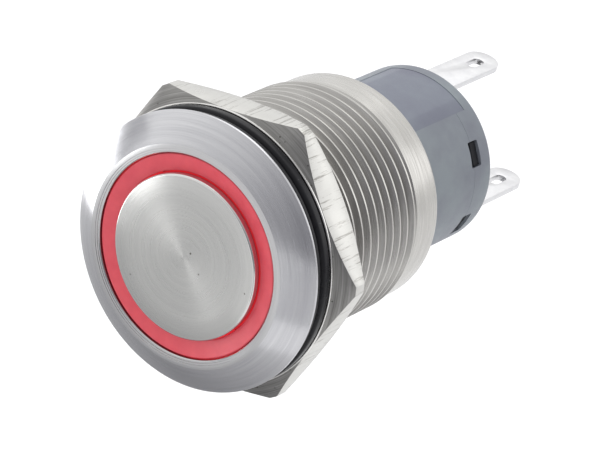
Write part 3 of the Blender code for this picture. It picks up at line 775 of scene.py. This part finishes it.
beyond = NUT_FACE - 1 / CHAMFER_SLOPE
blank = spin("nut_blank", [(0, NUT_Y - 1), (beyond, NUT_Y - 1), (NUT_CORNER, NUT_Y + CHAMFER),
                           (NUT_CORNER, NUT_END - CHAMFER), (beyond, NUT_END + 1), (0, NUT_END + 1)], 240)
cut(nut, blank, operation="INTERSECT")
reamer = spin("nut_reamer", [(0, NUT_Y - 1), (NUT_BORE + 1.25, NUT_Y - 1), (NUT_BORE, NUT_Y + 0.25),
                             (NUT_BORE, NUT_END - 0.3), (NUT_BORE + 1.3, NUT_END + 1), (0, NUT_END + 1)], 160)
cut(nut, reamer)
inner_ridge = thread_ridge("nut_thread_ridge", 9.14, NUT_BORE + 0.12, THREAD_START + PITCH * 0.5 + 1, 4,
                           tip_flat=0.1)
trim(inner_ridge, NUT_Y + 0.3, keep_front=False)
trim(inner_ridge, NUT_END - 0.35, keep_front=True)
cut(nut, inner_ridge, operation="UNION")
break_edges(nut, 0.035 * MM, 2, 25)


# %% Nut finishes
def nut_face_and_shade_finish():
    """Coarse facing arcs, small pits and a darker tone: partly a duller cut, partly painted shade from the
    flange and the gasket.
    """
    # Painted shade: the faces and chamfer cones are darker than the cut alone makes them, for the shade of
    # the flange and the gasket close by.
    finish = brushed_steel("nut_faced_and_shaded", (0.36, 0.355, 0.345), (0.15, 0.147, 0.14), (0.26, 0.42), 8.0, 1.6,
                           0.01, 0.5)
    place = in_millimetres(finish)
    specks = node(finish, "TexVoronoi", None, Vector=place, Scale=1.3).outputs["Distance"]
    pit = spread(finish, specks, 0.06, 0.10, 1.0, 0.0)
    steel = finish.node_tree.nodes["Principled BSDF"].inputs["Base Color"].links[0].from_socket
    feed(finish, "Base Color", blend_colours(finish, pit, steel, (0.07, 0.065, 0.06)))
    return finish


def nut_flat_finish():
    """Drawn bar: bright skin, fine dark scratches from front to rear, and patches of fine grain."""
    finish = new_finish("nut_drawn", (0.70, 0.69, 0.665), 1.0, 0.3, Anisotropic=0.2)
    place = in_millimetres(finish)
    squeeze = node(finish, "Mapping", None, Vector=place, Scale=(3.2, 0.16, 3.2)).outputs[0]
    marks = noise(finish, squeeze, 1.0, 7.0, 0.8)
    scratches = spread(finish, marks, 0.55, 0.61, 0.0, 1.0)
    drawn = node(finish, "Mapping", None, Vector=place, Scale=(14.0, 1.5, 14.0)).outputs[0]
    fine = noise(finish, drawn, 1.0, 3.0)
    broad = noise(finish, place, 0.5, 3.0)
    bright = blend_colours(finish, broad, (0.54, 0.535, 0.515), (0.67, 0.665, 0.64))
    worn = blend_colours(finish, spread(finish, fine, 0.4, 0.7, 0.0, 0.35), bright, (0.55, 0.54, 0.51))
    feed(finish, "Base Color", blend_colours(finish, sums(finish, "MULTIPLY", scratches, 0.8), worn,
                                             (0.25, 0.24, 0.22)))
    feed(finish, "Roughness", spread(finish, broad, 0.3, 0.7, 0.26, 0.4))
    feed(finish, "Normal", relief(finish, marks, 0.01 * MM))
    return finish


nut.data.materials.append(nut_face_and_shade_finish())
nut.data.materials.append(nut_flat_finish())
nut.data.materials.append(barrel_steel)
for face in nut.data.polygons:
    radius = math.hypot(face.center.x, face.center.z) / MM
    if radius < NUT_BORE + 0.3 and abs(face.normal.y) < 0.95:
        face.material_index = 2
    elif abs(face.normal.y) < 0.8:
        face.material_index = 1
    else:
        face.material_index = 0
settle(nut, [], "nut", ["hex_nut"])

# %% [markdown]
# ## The rear housing
#
# The housing is a cup of grey nylon. Its front end is a little thicker and is pressed into the barrel. A
# faint parting line runs round it, snap windows are cut near its rim and a shallow panel is sunk into its
# top. The cup is one spun section, and the windows and the panel are cut from it. The section has a few
# points along its side, so that the faces are short there and the cuts leave its shading even.

# %% Housing cup
HOUSE_R, HOUSE_Y, HOUSE_END = turned_size("rear_housing")
WALL = 0.7
CUP_FLOOR = 1.0
STEM_HOLE = 2.3
WINDOW_Y = (26.6, 27.9)
WINDOW_HEIGHT = 2.1
WINDOW_ANGLES = [math.radians(angle) for angle in (32.0, -18.5, 148.0, 198.5)]
PARTING_Y = 26.95
SOCKET_R = BORE_R - 0.04
SOCKET_END = BARREL_END - 0.35
WINDOW_FRAME = 0.12
SIDE_STEPS = 5
RIM_ROUND = 0.22
last_step = WINDOW_Y[0] - WINDOW_FRAME
side = [(HOUSE_R, SOCKET_END + (last_step - SOCKET_END) * k / SIDE_STEPS) for k in range(1, SIDE_STEPS + 1)]
housing = spin("rear_housing_fine", [
    (STEM_HOLE, HOUSE_Y + 0.1), (STEM_HOLE + 0.1, HOUSE_Y), (SOCKET_R - 0.2, HOUSE_Y),
    (SOCKET_R, HOUSE_Y + 0.2), (SOCKET_R, SOCKET_END - 0.1), (SOCKET_R - 0.1, SOCKET_END),
    (HOUSE_R, SOCKET_END)]
    + side
    + [(HOUSE_R, PARTING_Y - 0.02), (HOUSE_R - 0.02, PARTING_Y), (HOUSE_R, PARTING_Y + 0.02),
       (HOUSE_R, WINDOW_Y[1] + WINDOW_FRAME)]
    + arc_points((HOUSE_R - RIM_ROUND, HOUSE_END - RIM_ROUND), RIM_ROUND, 0, 90, 5)
    + [(HOUSE_R - WALL + 0.15, HOUSE_END), (HOUSE_R - WALL, HOUSE_END - 0.15),
       (HOUSE_R - WALL, HOUSE_Y + CUP_FLOOR), (STEM_HOLE + 0.1, HOUSE_Y + CUP_FLOOR),
       (STEM_HOLE, HOUSE_Y + CUP_FLOOR - 0.1)])


def block(name, low, high):
    """A cuboid between two corners, in mm."""
    deselect_all()
    centre = [(a + b) / 2 * MM for a, b in zip(low, high)]
    bpy.ops.mesh.primitive_cube_add(size=1.0, location=centre)
    obj = bpy.context.object
    obj.name = name
    obj.scale = [(b - a) * MM for a, b in zip(low, high)]
    bpy.ops.object.transform_apply(location=True, rotation=True, scale=True)
    return obj


for angle in WINDOW_ANGLES:
    window = block("window_cutter", (HOUSE_R - WALL - 0.6, WINDOW_Y[0], -WINDOW_HEIGHT / 2),
                   (HOUSE_R + 1, WINDOW_Y[1], WINDOW_HEIGHT / 2))
    break_edges(window, 0.12 * MM, 3)
    window.data.transform(Matrix.Rotation(-angle, 4, "Y"))
    cut(housing, window)

# The panel: a curved slab between 60 and 120 degrees
PANEL_Y = (19.5, 28.15)
PANEL_DEPTH = 0.035
PANEL_HALF = math.radians(30)
panel = draw_section("panel_cutter", [(HOUSE_R - PANEL_DEPTH, PANEL_Y[0]), (HOUSE_R + 1, PANEL_Y[0]),
                                      (HOUSE_R + 1, PANEL_Y[1]), (HOUSE_R - PANEL_DEPTH, PANEL_Y[1])])
bpy.ops.mesh.select_all(action="SELECT")
bpy.ops.mesh.edge_face_add()
bpy.ops.mesh.spin(steps=32, angle=2 * PANEL_HALF, center=(0, 0, 0), axis=(0, 1, 0))
end_edit()
face_outwards(panel)
middle = sum((v.co for v in panel.data.vertices), Vector()) / len(panel.data.vertices)
panel.data.transform(Matrix.Rotation(math.atan2(middle.z, middle.x) - math.pi / 2, 4, "Y"))
cut(housing, panel)
break_edges(housing, 0.015 * MM, 1, 40)


def moulded_plastic(name, light, dark, roughness, grain=9.0, depth=0.006, gloss=0.35):
    """Fine spark-eroded grain, slow cloudiness in the colour."""
    finish = new_finish(name, light, 0.0, roughness, Specular_IOR_Level=gloss)
    place = in_millimetres(finish)
    broad = noise(finish, place, 0.25, 3.0)
    fine = noise(finish, place, grain, 3.0)
    factor = spread(finish, broad, 0.35, 0.65, 0.0, 1.0)
    feed(finish, "Base Color", blend_colours(finish, factor, light, dark))
    feed(finish, "Roughness", spread(finish, fine, 0.3, 0.7, roughness - 0.06, roughness + 0.08))
    feed(finish, "Normal", relief(finish, fine, depth * MM))
    return finish


housing_grey = moulded_plastic("housing_grey", (0.245, 0.275, 0.30), (0.20, 0.215, 0.25), 0.48)
panel_grey = moulded_plastic("housing_panel_grey", (0.20, 0.22, 0.265), (0.17, 0.18, 0.23), 0.42)
housing.data.materials.append(housing_grey)
housing.data.materials.append(panel_grey)
for face in housing.data.polygons:
    radius = math.hypot(face.center.x, face.center.z) / MM
    sunk = abs(radius - (HOUSE_R - PANEL_DEPTH)) < 0.02
    inside = PANEL_Y[0] < face.center.y / MM < PANEL_Y[1] and face.center.z > abs(face.center.x)
    face.material_index = 1 if sunk and inside else 0
settle(housing, [], "housing", ["rear_housing"], smooth=20)

# %% [markdown]
# ## The solder lugs
#
# Each lug is stamped from tinned brass strip: a flat tongue with a round end, a long slot for the wire and
# a thinner stem that runs into the housing. The tongue starts as a cuboid whose two end edges are bevelled
# until they meet in a half circle. The slot is a cuboid treated the same way and cut out. The shear edges
# get a tiny radius, more than that would look cast. The inner contact plates are part of the same strip.

# %% One lug
LUG_THICK, STEM_THICK = 0.5, 0.4
LUG_SHOULDER = 29.6
SLOT_SIZE = (0.9, 1.9)
SLOT_INSET = 2.4
STEM_INSET, STEM_OVERLAP = 0.1, 0.4


def round_end(obj, width, both=False):
    """Bevel a plate's upright edges at its rear end, or at both ends, into half circles."""
    middle_y = sum(v.co.y for v in obj.data.vertices) / len(obj.data.vertices)
    start_edit(obj)
    select_where(obj, lambda e: abs(e.verts[0].co.z - e.verts[1].co.z) > 1e-5
                 and (both or edge_centre(e).y > middle_y), "edges")
    bpy.ops.mesh.bevel(offset=width / 2 * MM * 0.999, segments=12, affect="EDGES", clamp_overlap=True)
    end_edit()
    face_outwards(obj)


def tinned_strip():
    """Bright matte tin over brass: soft mottling, roll lines along the strip."""
    finish = new_finish("tinned_strip", (0.68, 0.68, 0.69), 1.0, 0.34)
    place = in_millimetres(finish)
    rolled = node(finish, "Mapping", None, Vector=place, Scale=(7.0, 0.5, 3.0)).outputs[0]
    lines = noise(finish, rolled, 1.0, 4.0)
    clouds = noise(finish, place, 1.1, 3.0)
    feed(finish, "Base Color", blend_colours(finish, clouds, (0.58, 0.58, 0.60), (0.76, 0.76, 0.76)))
    feed(finish, "Roughness", spread(finish, lines, 0.3, 0.7, 0.3, 0.44))
    feed(finish, "Normal", relief(finish, lines, 0.003 * MM))
    return finish


strip = tinned_strip()


def tongue_of(node_name):
    """Both sides x, the height z and the end y of a lug's tongue, in mm, from its CAD node."""
    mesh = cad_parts[node_name].data
    tongue = [v.co for v in mesh.vertices if v.co.y / MM > LUG_SHOULDER + 1]
    z = (min(v.z for v in tongue) + max(v.z for v in tongue)) / 2 / MM
    return min(v.x for v in tongue) / MM, max(v.x for v in tongue) / MM, z, max(v.y for v in tongue) / MM


def make_lug(node_name, plate=None):
    """A lug whose width, end and height come from its CAD node; plate is a block that its stem carries."""
    x0, x1, z, end = tongue_of(node_name)
    stem_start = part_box(node_name)[0].y / MM
    width, x = x1 - x0, (x0 + x1) / 2
    lug = block(node_name + "_fine", (x0, LUG_SHOULDER, z - LUG_THICK / 2), (x1, end, z + LUG_THICK / 2))
    round_end(lug, width)
    centre = end - SLOT_INSET
    slot = block("slot_cutter", (x - SLOT_SIZE[0] / 2, centre - SLOT_SIZE[1] / 2, z - 1),
                 (x + SLOT_SIZE[0] / 2, centre + SLOT_SIZE[1] / 2, z + 1))
    round_end(slot, SLOT_SIZE[0], both=True)
    cut(lug, slot)
    if plate:
        stem_start = plate[1][1] - STEM_OVERLAP
    stem = block("stem", (x0 + STEM_INSET, stem_start, z - STEM_THICK / 2),
                 (x1 - STEM_INSET, LUG_SHOULDER + STEM_OVERLAP, z + STEM_THICK / 2))
    cut(lug, stem, operation="UNION")
    if plate:
        cut(lug, block("plate", *plate), operation="UNION")
    break_edges(lug, 0.05 * MM, 2, 40)
    settle(lug, [strip], "housing", [node_name])


# %% All five lugs
def node_plate(node_name, last_y):
    """The box of the inner contact plate: everything in front of a given y, in mm."""
    inner = [v.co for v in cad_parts[node_name].data.vertices if v.co.y / MM < last_y]
    low = [min(v[axis] for v in inner) / MM for axis in range(3)]
    high = [max(v[axis] for v in inner) / MM for axis in range(3)]
    return low, high


SWITCH_LUGS = {"terminal_common": 23.3, "terminal_no": 25.5, "terminal_nc": 20.6}
LAMP_LUGS = ["terminal_led_plus", "terminal_led_minus"]
for node_name, plate_end in SWITCH_LUGS.items():
    make_lug(node_name, node_plate(node_name, plate_end))
for node_name in LAMP_LUGS:
    make_lug(node_name)

# %% [markdown]
# ## The base and the resin
#
# Behind the housing's rim sits a black moulded base that carries the lugs and snaps into the windows, and
# over it a layer of dark resin is poured, which creeps up the wall and the lugs a little as it sets. Both
# are turned discs. Tabs are added to the base, and slots for the lugs are cut through both.

# %% Contact base and rear seal
SNAP_CLEARANCE = 0.12
BASE_R = HOUSE_R - WALL - 0.1


def cut_lug_slots(obj, clearance):
    """Cut a closed slot round each lug's stem."""
    for node_name in [*SWITCH_LUGS, *LAMP_LUGS]:
        x0, x1, z, end = tongue_of(node_name)
        beside = STEM_INSET - clearance
        half = STEM_THICK / 2 + clearance
        cut(obj, block("lug_slot", (x0 + beside, 20, z - half), (x1 - beside, end, z + half)))


base_y, base_end = (corner.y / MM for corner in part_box("contact_base"))
base = spin("contact_base_fine", [
    (0, base_y), (BASE_R - 0.15, base_y), (BASE_R, base_y + 0.15), (BASE_R, base_end - 0.1),
    (BASE_R - 0.1, base_end), (0, base_end)], 128)
for angle in WINDOW_ANGLES:
    half = WINDOW_HEIGHT / 2 - SNAP_CLEARANCE
    tab = block("snap_tab", (BASE_R - 0.8, WINDOW_Y[0] + SNAP_CLEARANCE, -half),
                (HOUSE_R - 0.22, WINDOW_Y[1] - SNAP_CLEARANCE, half))
    tab_front = WINDOW_Y[0] + SNAP_CLEARANCE
    start_edit(tab)
    select_where(tab, lambda e: edge_centre(e).x / MM > HOUSE_R * 0.9
                 and abs(edge_centre(e).y / MM - tab_front) < 0.01, "edges")
    bpy.ops.mesh.bevel(offset=0.35 * MM, segments=1, affect="EDGES")
    end_edit()
    tab.data.transform(Matrix.Rotation(-angle, 4, "Y"))
    cut(base, tab, operation="UNION")
cut_lug_slots(base, 0.08)
base_black = moulded_plastic("base_black", (0.018, 0.019, 0.022), (0.012, 0.013, 0.016), 0.5, 12.0,
                             gloss=0.12)
settle(base, [base_black], "housing", ["contact_base"])

_, seal_end = (corner.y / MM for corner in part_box("rear_seal"))
CREEP = 0.3
seal_r = HOUSE_R - WALL - 0.03
seal = spin("rear_seal_fine", [(0, base_end + 0.03), (seal_r, base_end + 0.03)]
            + arc_points((seal_r - CREEP, seal_end), CREEP, 0, -90, 5) + [(0, seal_end - CREEP)], 160)
cut_lug_slots(seal, 0.02)


def resin_finish():
    """Poured epoxy: nearly black, glossy, slowly rippled, with a few dust specks."""
    finish = new_finish("seal_resin", (0.02, 0.02, 0.023), 0.0, 0.2)
    place = in_millimetres(finish)
    ripple = noise(finish, place, 0.35, 2.0)
    specks = node(finish, "TexVoronoi", None, Vector=place, Scale=0.9).outputs["Distance"]
    dark = blend_colours(finish, ripple, (0.014, 0.014, 0.016), (0.03, 0.03, 0.033))
    feed(finish, "Base Color", blend_colours(finish, spread(finish, specks, 0.04, 0.07, 0.5, 0.0), dark,
                                             (0.2, 0.2, 0.2)))
    feed(finish, "Roughness", spread(finish, ripple, 0.3, 0.7, 0.14, 0.3))
    feed(finish, "Normal", relief(finish, ripple, 0.06 * MM))
    return finish


settle(seal, [resin_finish()], "housing", ["rear_seal"])

# %% [markdown]
# ## Inside the barrel
#
# The pieces that the bezel hides are still real: a nylon plunger that the cap's boss is pressed on, the
# sleeve that guides it, an O-ring, a clear tube that leads light to the ring, and the lamp board. All are
# turned sections, so one short function spins each and hangs it on its body.


# %% Turned inner pieces
def turned_piece(node_name, points, finish, body):
    """Spin a section and let it stand for one CAD node."""
    settle(spin(node_name + "_fine", points, 96), [finish], body, [node_name])


def clear_acrylic():
    """Clear moulded tube with faint flow lines."""
    finish = new_finish("guide_clear", (0.93, 0.94, 0.95), 0.0, 0.12, Transmission_Weight=0.9, IOR=1.49)
    place = in_millimetres(finish)
    drawn_out = node(finish, "Mapping", None, Vector=place, Scale=(1.5, 0.3, 1.5)).outputs[0]
    flow = noise(finish, drawn_out, 1.0, 3.0)
    feed(finish, "Roughness", spread(finish, flow, 0.3, 0.7, 0.08, 0.2))
    feed(finish, "Normal", relief(finish, flow, 0.02 * MM))
    return finish


def board_finish():
    """Green lacquer over copper traces that follow the rim."""
    finish = new_finish("board_green", (0.01, 0.16, 0.05), 0.0, 0.35)
    _, _, radius, _ = on_the_lathe(finish)
    waves = sums(finish, "SINE", sums(finish, "MULTIPLY", radius, 7.0))
    trace = spread(finish, waves, 0.3, 0.45, 0.0, 1.0)
    feed(finish, "Base Color", blend_colours(finish, trace, (0.008, 0.13, 0.04), (0.03, 0.26, 0.08)))
    feed(finish, "Normal", relief(finish, trace, 0.02 * MM))
    grain = noise(finish, in_millimetres(finish), 4.0)
    feed(finish, "Roughness", spread(finish, grain, 0.3, 0.7, 0.28, 0.42))
    return finish


nylon = moulded_plastic("plunger_nylon", (0.80, 0.79, 0.74), (0.72, 0.70, 0.64), 0.42, 10.0, 0.004)
_, PIN_Y, STEM_END = turned_size("plunger")
HEAD_R, HEAD_Y, HEAD_END = 5.4, BOSS_END + 0.1, BOSS_END + 1.5
STEM_R, PIN_R = 2.0, 1.6
POCKET_R, POCKET_Y = 1.4, 16.0
turned_piece("plunger", [
    (0, PIN_Y), (PIN_R - 0.3, PIN_Y), (PIN_R, PIN_Y + 0.3), (PIN_R, HEAD_Y), (HEAD_R - 0.1, HEAD_Y),
    (HEAD_R, HEAD_Y + 0.1), (HEAD_R, HEAD_END - 0.1), (HEAD_R - 0.1, HEAD_END), (STEM_R + 0.3, HEAD_END),
    (STEM_R, HEAD_END + 0.3), (STEM_R, STEM_END - 0.15), (STEM_R - 0.15, STEM_END),
    (POCKET_R + 0.1, STEM_END), (POCKET_R, STEM_END - 0.1), (POCKET_R, POCKET_Y + 0.1),
    (POCKET_R - 0.1, POCKET_Y), (0, POCKET_Y)], nylon, "button")

# The sleeve: a front collar round the boss, a long bore for the plunger's head, a rear wall round its stem
_, GUIDE_Y, GUIDE_END = turned_size("plunger_guide")
SLEEVE_R, SLEEVE_BORE = 6.3, 5.7
COLLAR_R, BOSS_BORE, STEM_BORE = 4.3, 3.25, 2.3
REAR_WALL = 1.4
turned_piece("plunger_guide", [
    (COLLAR_R, GUIDE_Y), (SLEEVE_R - 0.1, GUIDE_Y), (SLEEVE_R, GUIDE_Y + 0.1), (SLEEVE_R, GUIDE_END - 0.1),
    (SLEEVE_R - 0.1, GUIDE_END), (STEM_BORE + 0.1, GUIDE_END), (STEM_BORE, GUIDE_END - 0.1),
    (STEM_BORE, GUIDE_END - REAR_WALL), (SLEEVE_BORE - 0.1, GUIDE_END - REAR_WALL),
    (SLEEVE_BORE, GUIDE_END - REAR_WALL + 0.1), (SLEEVE_BORE, GUIDE_Y + 2.4),
    (BOSS_BORE + 0.1, GUIDE_Y + 2.4), (BOSS_BORE, GUIDE_Y + 2.3), (BOSS_BORE, GUIDE_Y + 1.2),
    (COLLAR_R - 0.1, GUIDE_Y + 1.2), (COLLAR_R, GUIDE_Y + 1.1)], base_black, "housing")

SEAL_SECTION = 0.42
SEAL_GAP = 0.06
seal_centre = (BOSS_R + SEAL_GAP + SEAL_SECTION, GUIDE_Y + 0.5)
turned_piece("plunger_seal", arc_points(seal_centre, SEAL_SECTION, 0, 342, 19),
             rubber_finish("seal_rubber", dusty=False), "housing")

TUBE_R, TUBE_BORE, TUBE_Y = 7.5, 6.62, RING_SEAT - 0.25
turned_piece("light_guide", [
    (TUBE_BORE, TUBE_Y + 0.05), (TUBE_BORE + 0.05, TUBE_Y), (TUBE_R - 0.05, TUBE_Y), (TUBE_R, TUBE_Y + 0.05),
    (TUBE_R, GUIDE_END - 0.1), (TUBE_R - 0.1, GUIDE_END), (TUBE_BORE + 0.08, GUIDE_END),
    (TUBE_BORE, GUIDE_END - 0.1)], clear_acrylic(), "housing")

BOARD_R, BOARD_Y, BOARD_END = turned_size("led_board")
turned_piece("led_board", [
    (STEM_BORE, BOARD_Y), (BOARD_R - 0.03, BOARD_Y), (BOARD_R, BOARD_Y + 0.03), (BOARD_R, BOARD_END - 0.03),
    (BOARD_R - 0.03, BOARD_END), (STEM_BORE, BOARD_END)], board_finish(), "housing")

# %% [markdown]
# ## Lamps, resistor and leads
#
# A lamp of this kind is a small cream block with a cup in its front, where the red chip shines. One is
# made by inset and extrude, then copied three times, each copy with its own mesh, a quarter turn apart.
# The resistor is a black block with tinned ends, and the leads are short pins with rounded ends.

# %% Lamps
LAMPS = 4
LAMP_ALONG, LAMP_DEEP, LAMP_RADIAL, LAMP_ORBIT = 1.4, 0.8, 0.9, 6.6
SOLDER = 0.02


def speckled(name, colour, metallic, roughness, **sockets):
    """An even small-part finish: a slight change of tone and gloss over a fine grain."""
    finish = new_finish(name, colour, metallic, roughness, **sockets)
    fine = noise(finish, in_millimetres(finish), 5.0, 4.0)
    darker = tuple(channel * 0.78 for channel in colour)
    factor = spread(finish, fine, 0.3, 0.7, 0.0, 1.0)
    feed(finish, "Base Color", blend_colours(finish, factor, colour, darker))
    feed(finish, "Roughness", spread(finish, fine, 0.3, 0.7, roughness * 0.8, roughness * 1.25))
    feed(finish, "Normal", relief(finish, fine, 0.003 * MM))
    return finish


lamp_body = speckled("lamp_body", (0.75, 0.72, 0.64), 0.0, 0.4)
lamp_chip = speckled("lamp_chip", (0.8, 0.05, 0.04), 0.0, 0.25, Emission_Color=(1.0, 0.06, 0.04, 1.0),
                     Emission_Strength=2.0)
lamp_front = BOARD_Y - LAMP_DEEP - SOLDER
first_lamp = block("lamp", (-LAMP_ALONG / 2, lamp_front, LAMP_ORBIT - LAMP_RADIAL / 2),
                   (LAMP_ALONG / 2, BOARD_Y - SOLDER, LAMP_ORBIT + LAMP_RADIAL / 2))
start_edit(first_lamp)
select_where(first_lamp, lambda f: f.normal.y < -0.9, "faces")
bpy.ops.mesh.inset(thickness=0.14 * MM, depth=0)
bpy.ops.mesh.extrude_region_move(TRANSFORM_OT_translate={"value": (0, 0.15 * MM, 0)})
bpy.ops.transform.resize(value=(0.86, 1, 0.8), center_override=(0, 0, LAMP_ORBIT * MM))
end_edit()
break_edges(first_lamp, 0.03 * MM, 1, 40)
first_lamp.data.materials.append(lamp_body)
first_lamp.data.materials.append(lamp_chip)
for face in first_lamp.data.polygons:
    in_cup = face.normal.y < -0.9 and face.center.y / MM > lamp_front + 0.1
    face.material_index = 1 if in_cup else 0
for index in range(LAMPS):
    lamp = bpy.data.objects.new(f"led_{index + 1}_fine", first_lamp.data.copy())
    bpy.context.scene.collection.objects.link(lamp)
    lamp.data.transform(Matrix.Rotation(2 * math.pi / LAMPS * (index + 0.5), 4, "Y"))
    settle(lamp, [], "housing", [f"led_{index + 1}"])
bpy.data.objects.remove(first_lamp, do_unlink=True)

# %% Resistor and leads
def node_block(node_name):
    """A cuboid that fills the box of its CAD node."""
    low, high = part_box(node_name)
    return block(node_name + "_fine", [value / MM for value in low], [value / MM for value in high])


TINNED_FROM = 0.7
resistor = node_block("resistor")
start_edit(resistor)
for end_z in (TINNED_FROM, -TINNED_FROM):
    bpy.ops.mesh.select_all(action="SELECT")
    bpy.ops.mesh.bisect(plane_co=(0, 0, end_z * MM), plane_no=(0, 0, 1), threshold=1e-7)
end_edit()
break_edges(resistor, 0.04 * MM, 2, 40)
tin = speckled("solder_tin", (0.8, 0.8, 0.8), 1.0, 0.3)
resistor.data.materials.append(speckled("chip_black", (0.03, 0.03, 0.032), 0.0, 0.35))
resistor.data.materials.append(tin)
for face in resistor.data.polygons:
    face.material_index = 1 if abs(face.center.z) / MM > TINNED_FROM - 0.01 else 0
settle(resistor, [], "housing", ["resistor"])


def pin(node_name, radius, front, rear, finish, body, rounding=0.08):
    """A small round piece with rounded ends, on the centre line of its CAD node."""
    low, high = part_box(node_name)
    piece = spin(node_name + "_fine", [(0, front)]
                 + arc_points((radius - rounding, front + rounding), rounding, -90, 0, 3)
                 + arc_points((radius - rounding, rear - rounding), rounding, 0, 90, 3) + [(0, rear)], 32)
    piece.data.transform(Matrix.Translation(((low.x + high.x) / 2, 0, (low.z + high.z) / 2)))
    settle(piece, [finish], body, [node_name])


LEAD_R, LEAD_END = 0.28, 17.48
for node_name in ("led_lead_plus", "led_lead_minus"):
    pin(node_name, LEAD_R, BOARD_END + SOLDER, LEAD_END, tin, "housing")

# %% [markdown]
# ## Contacts and springs
#
# The lever is a strip of spring brass with a silver rivet near its free end. It swings between two fixed
# silver contacts. The return spring lifts the button, and the small spring inside the plunger pushes the
# lever. Each spring is a round section wound by a Screw modifier and ground flat at both ends. A real
# spring gets shorter when the button goes in; these are built at one length.

# %% Lever and contacts
LEVER_CORNER = 0.5
RIVET_R, HOLE_R = 0.6, 0.63
lever = node_block("contact_lever")
start_edit(lever)
select_where(lever, lambda e: abs(e.verts[0].co.y - e.verts[1].co.y) > 1e-5, "edges")
bpy.ops.mesh.bevel(offset=LEVER_CORNER * MM, segments=6, affect="EDGES")
end_edit()
low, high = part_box("lever_rivet")
hole = spin("rivet_hole", [(0, 21), (HOLE_R, 21), (HOLE_R, 24), (0, 24)], 32)
hole.data.transform(Matrix.Translation((0, 0, (low.z + high.z) / 2)))
cut(lever, hole)
break_edges(lever, 0.03 * MM, 1, 40)
brass = brushed_steel("spring_brass", (0.80, 0.60, 0.28), (0.66, 0.48, 0.20), (0.25, 0.4), 4.0, 3.0,
                      0.003, 0.2)
settle(lever, [brass], "lever", ["contact_lever"])
silver = speckled("contact_silver", (0.88, 0.87, 0.85), 1.0, 0.25)
for node_name, body in (("lever_rivet", "lever"), ("contact_nc", "housing"), ("contact_no", "housing")):
    low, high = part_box(node_name)
    pin(node_name, RIVET_R, low.y / MM, high.y / MM, silver, body, 0.15)


# %% Springs
def wound_spring(node_name, coil_r, wire_r, front, rear, turns, body):
    """A coil between two seats, ground flat at both ends."""
    pitch = (rear - front) / turns
    deselect_all()
    bpy.ops.mesh.primitive_circle_add(vertices=14, radius=wire_r * MM,
                                      location=(coil_r * MM, front * MM, 0))
    spring = bpy.context.object
    spring.name = node_name + "_fine"
    bpy.ops.object.transform_apply(location=True, rotation=True, scale=True)
    apply_modifier(spring, "SCREW", axis="Y", angle=2 * math.pi, screw_offset=pitch * MM, iterations=turns,
                   steps=40, render_steps=40, use_merge_vertices=False)
    start_edit(spring)
    select_where(spring, lambda e: len(e.link_faces) == 1, "edges")
    bpy.ops.mesh.fill()
    end_edit()
    face_outwards(spring)
    trim(spring, front, keep_front=False)
    trim(spring, rear, keep_front=True)
    settle(spring, [spring_wire], body, [node_name])
    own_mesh(spring)


spring_wire = brushed_steel("spring_wire", (0.55, 0.55, 0.56), (0.40, 0.40, 0.42), (0.22, 0.34), 10.0, 6.0,
                            0.002, 0.3)
SEAT_GAP = 0.03
return_front, return_rear = HEAD_END + SEAT_GAP, GUIDE_END - REAR_WALL - SEAT_GAP
wound_spring("return_spring", 3.9, 0.25, return_front, return_rear, 4, "housing")
contact_front, contact_rear = POCKET_Y + SEAT_GAP, 21.9
wound_spring("contact_spring", 0.95, 0.14, contact_front, contact_rear, 7, "button")
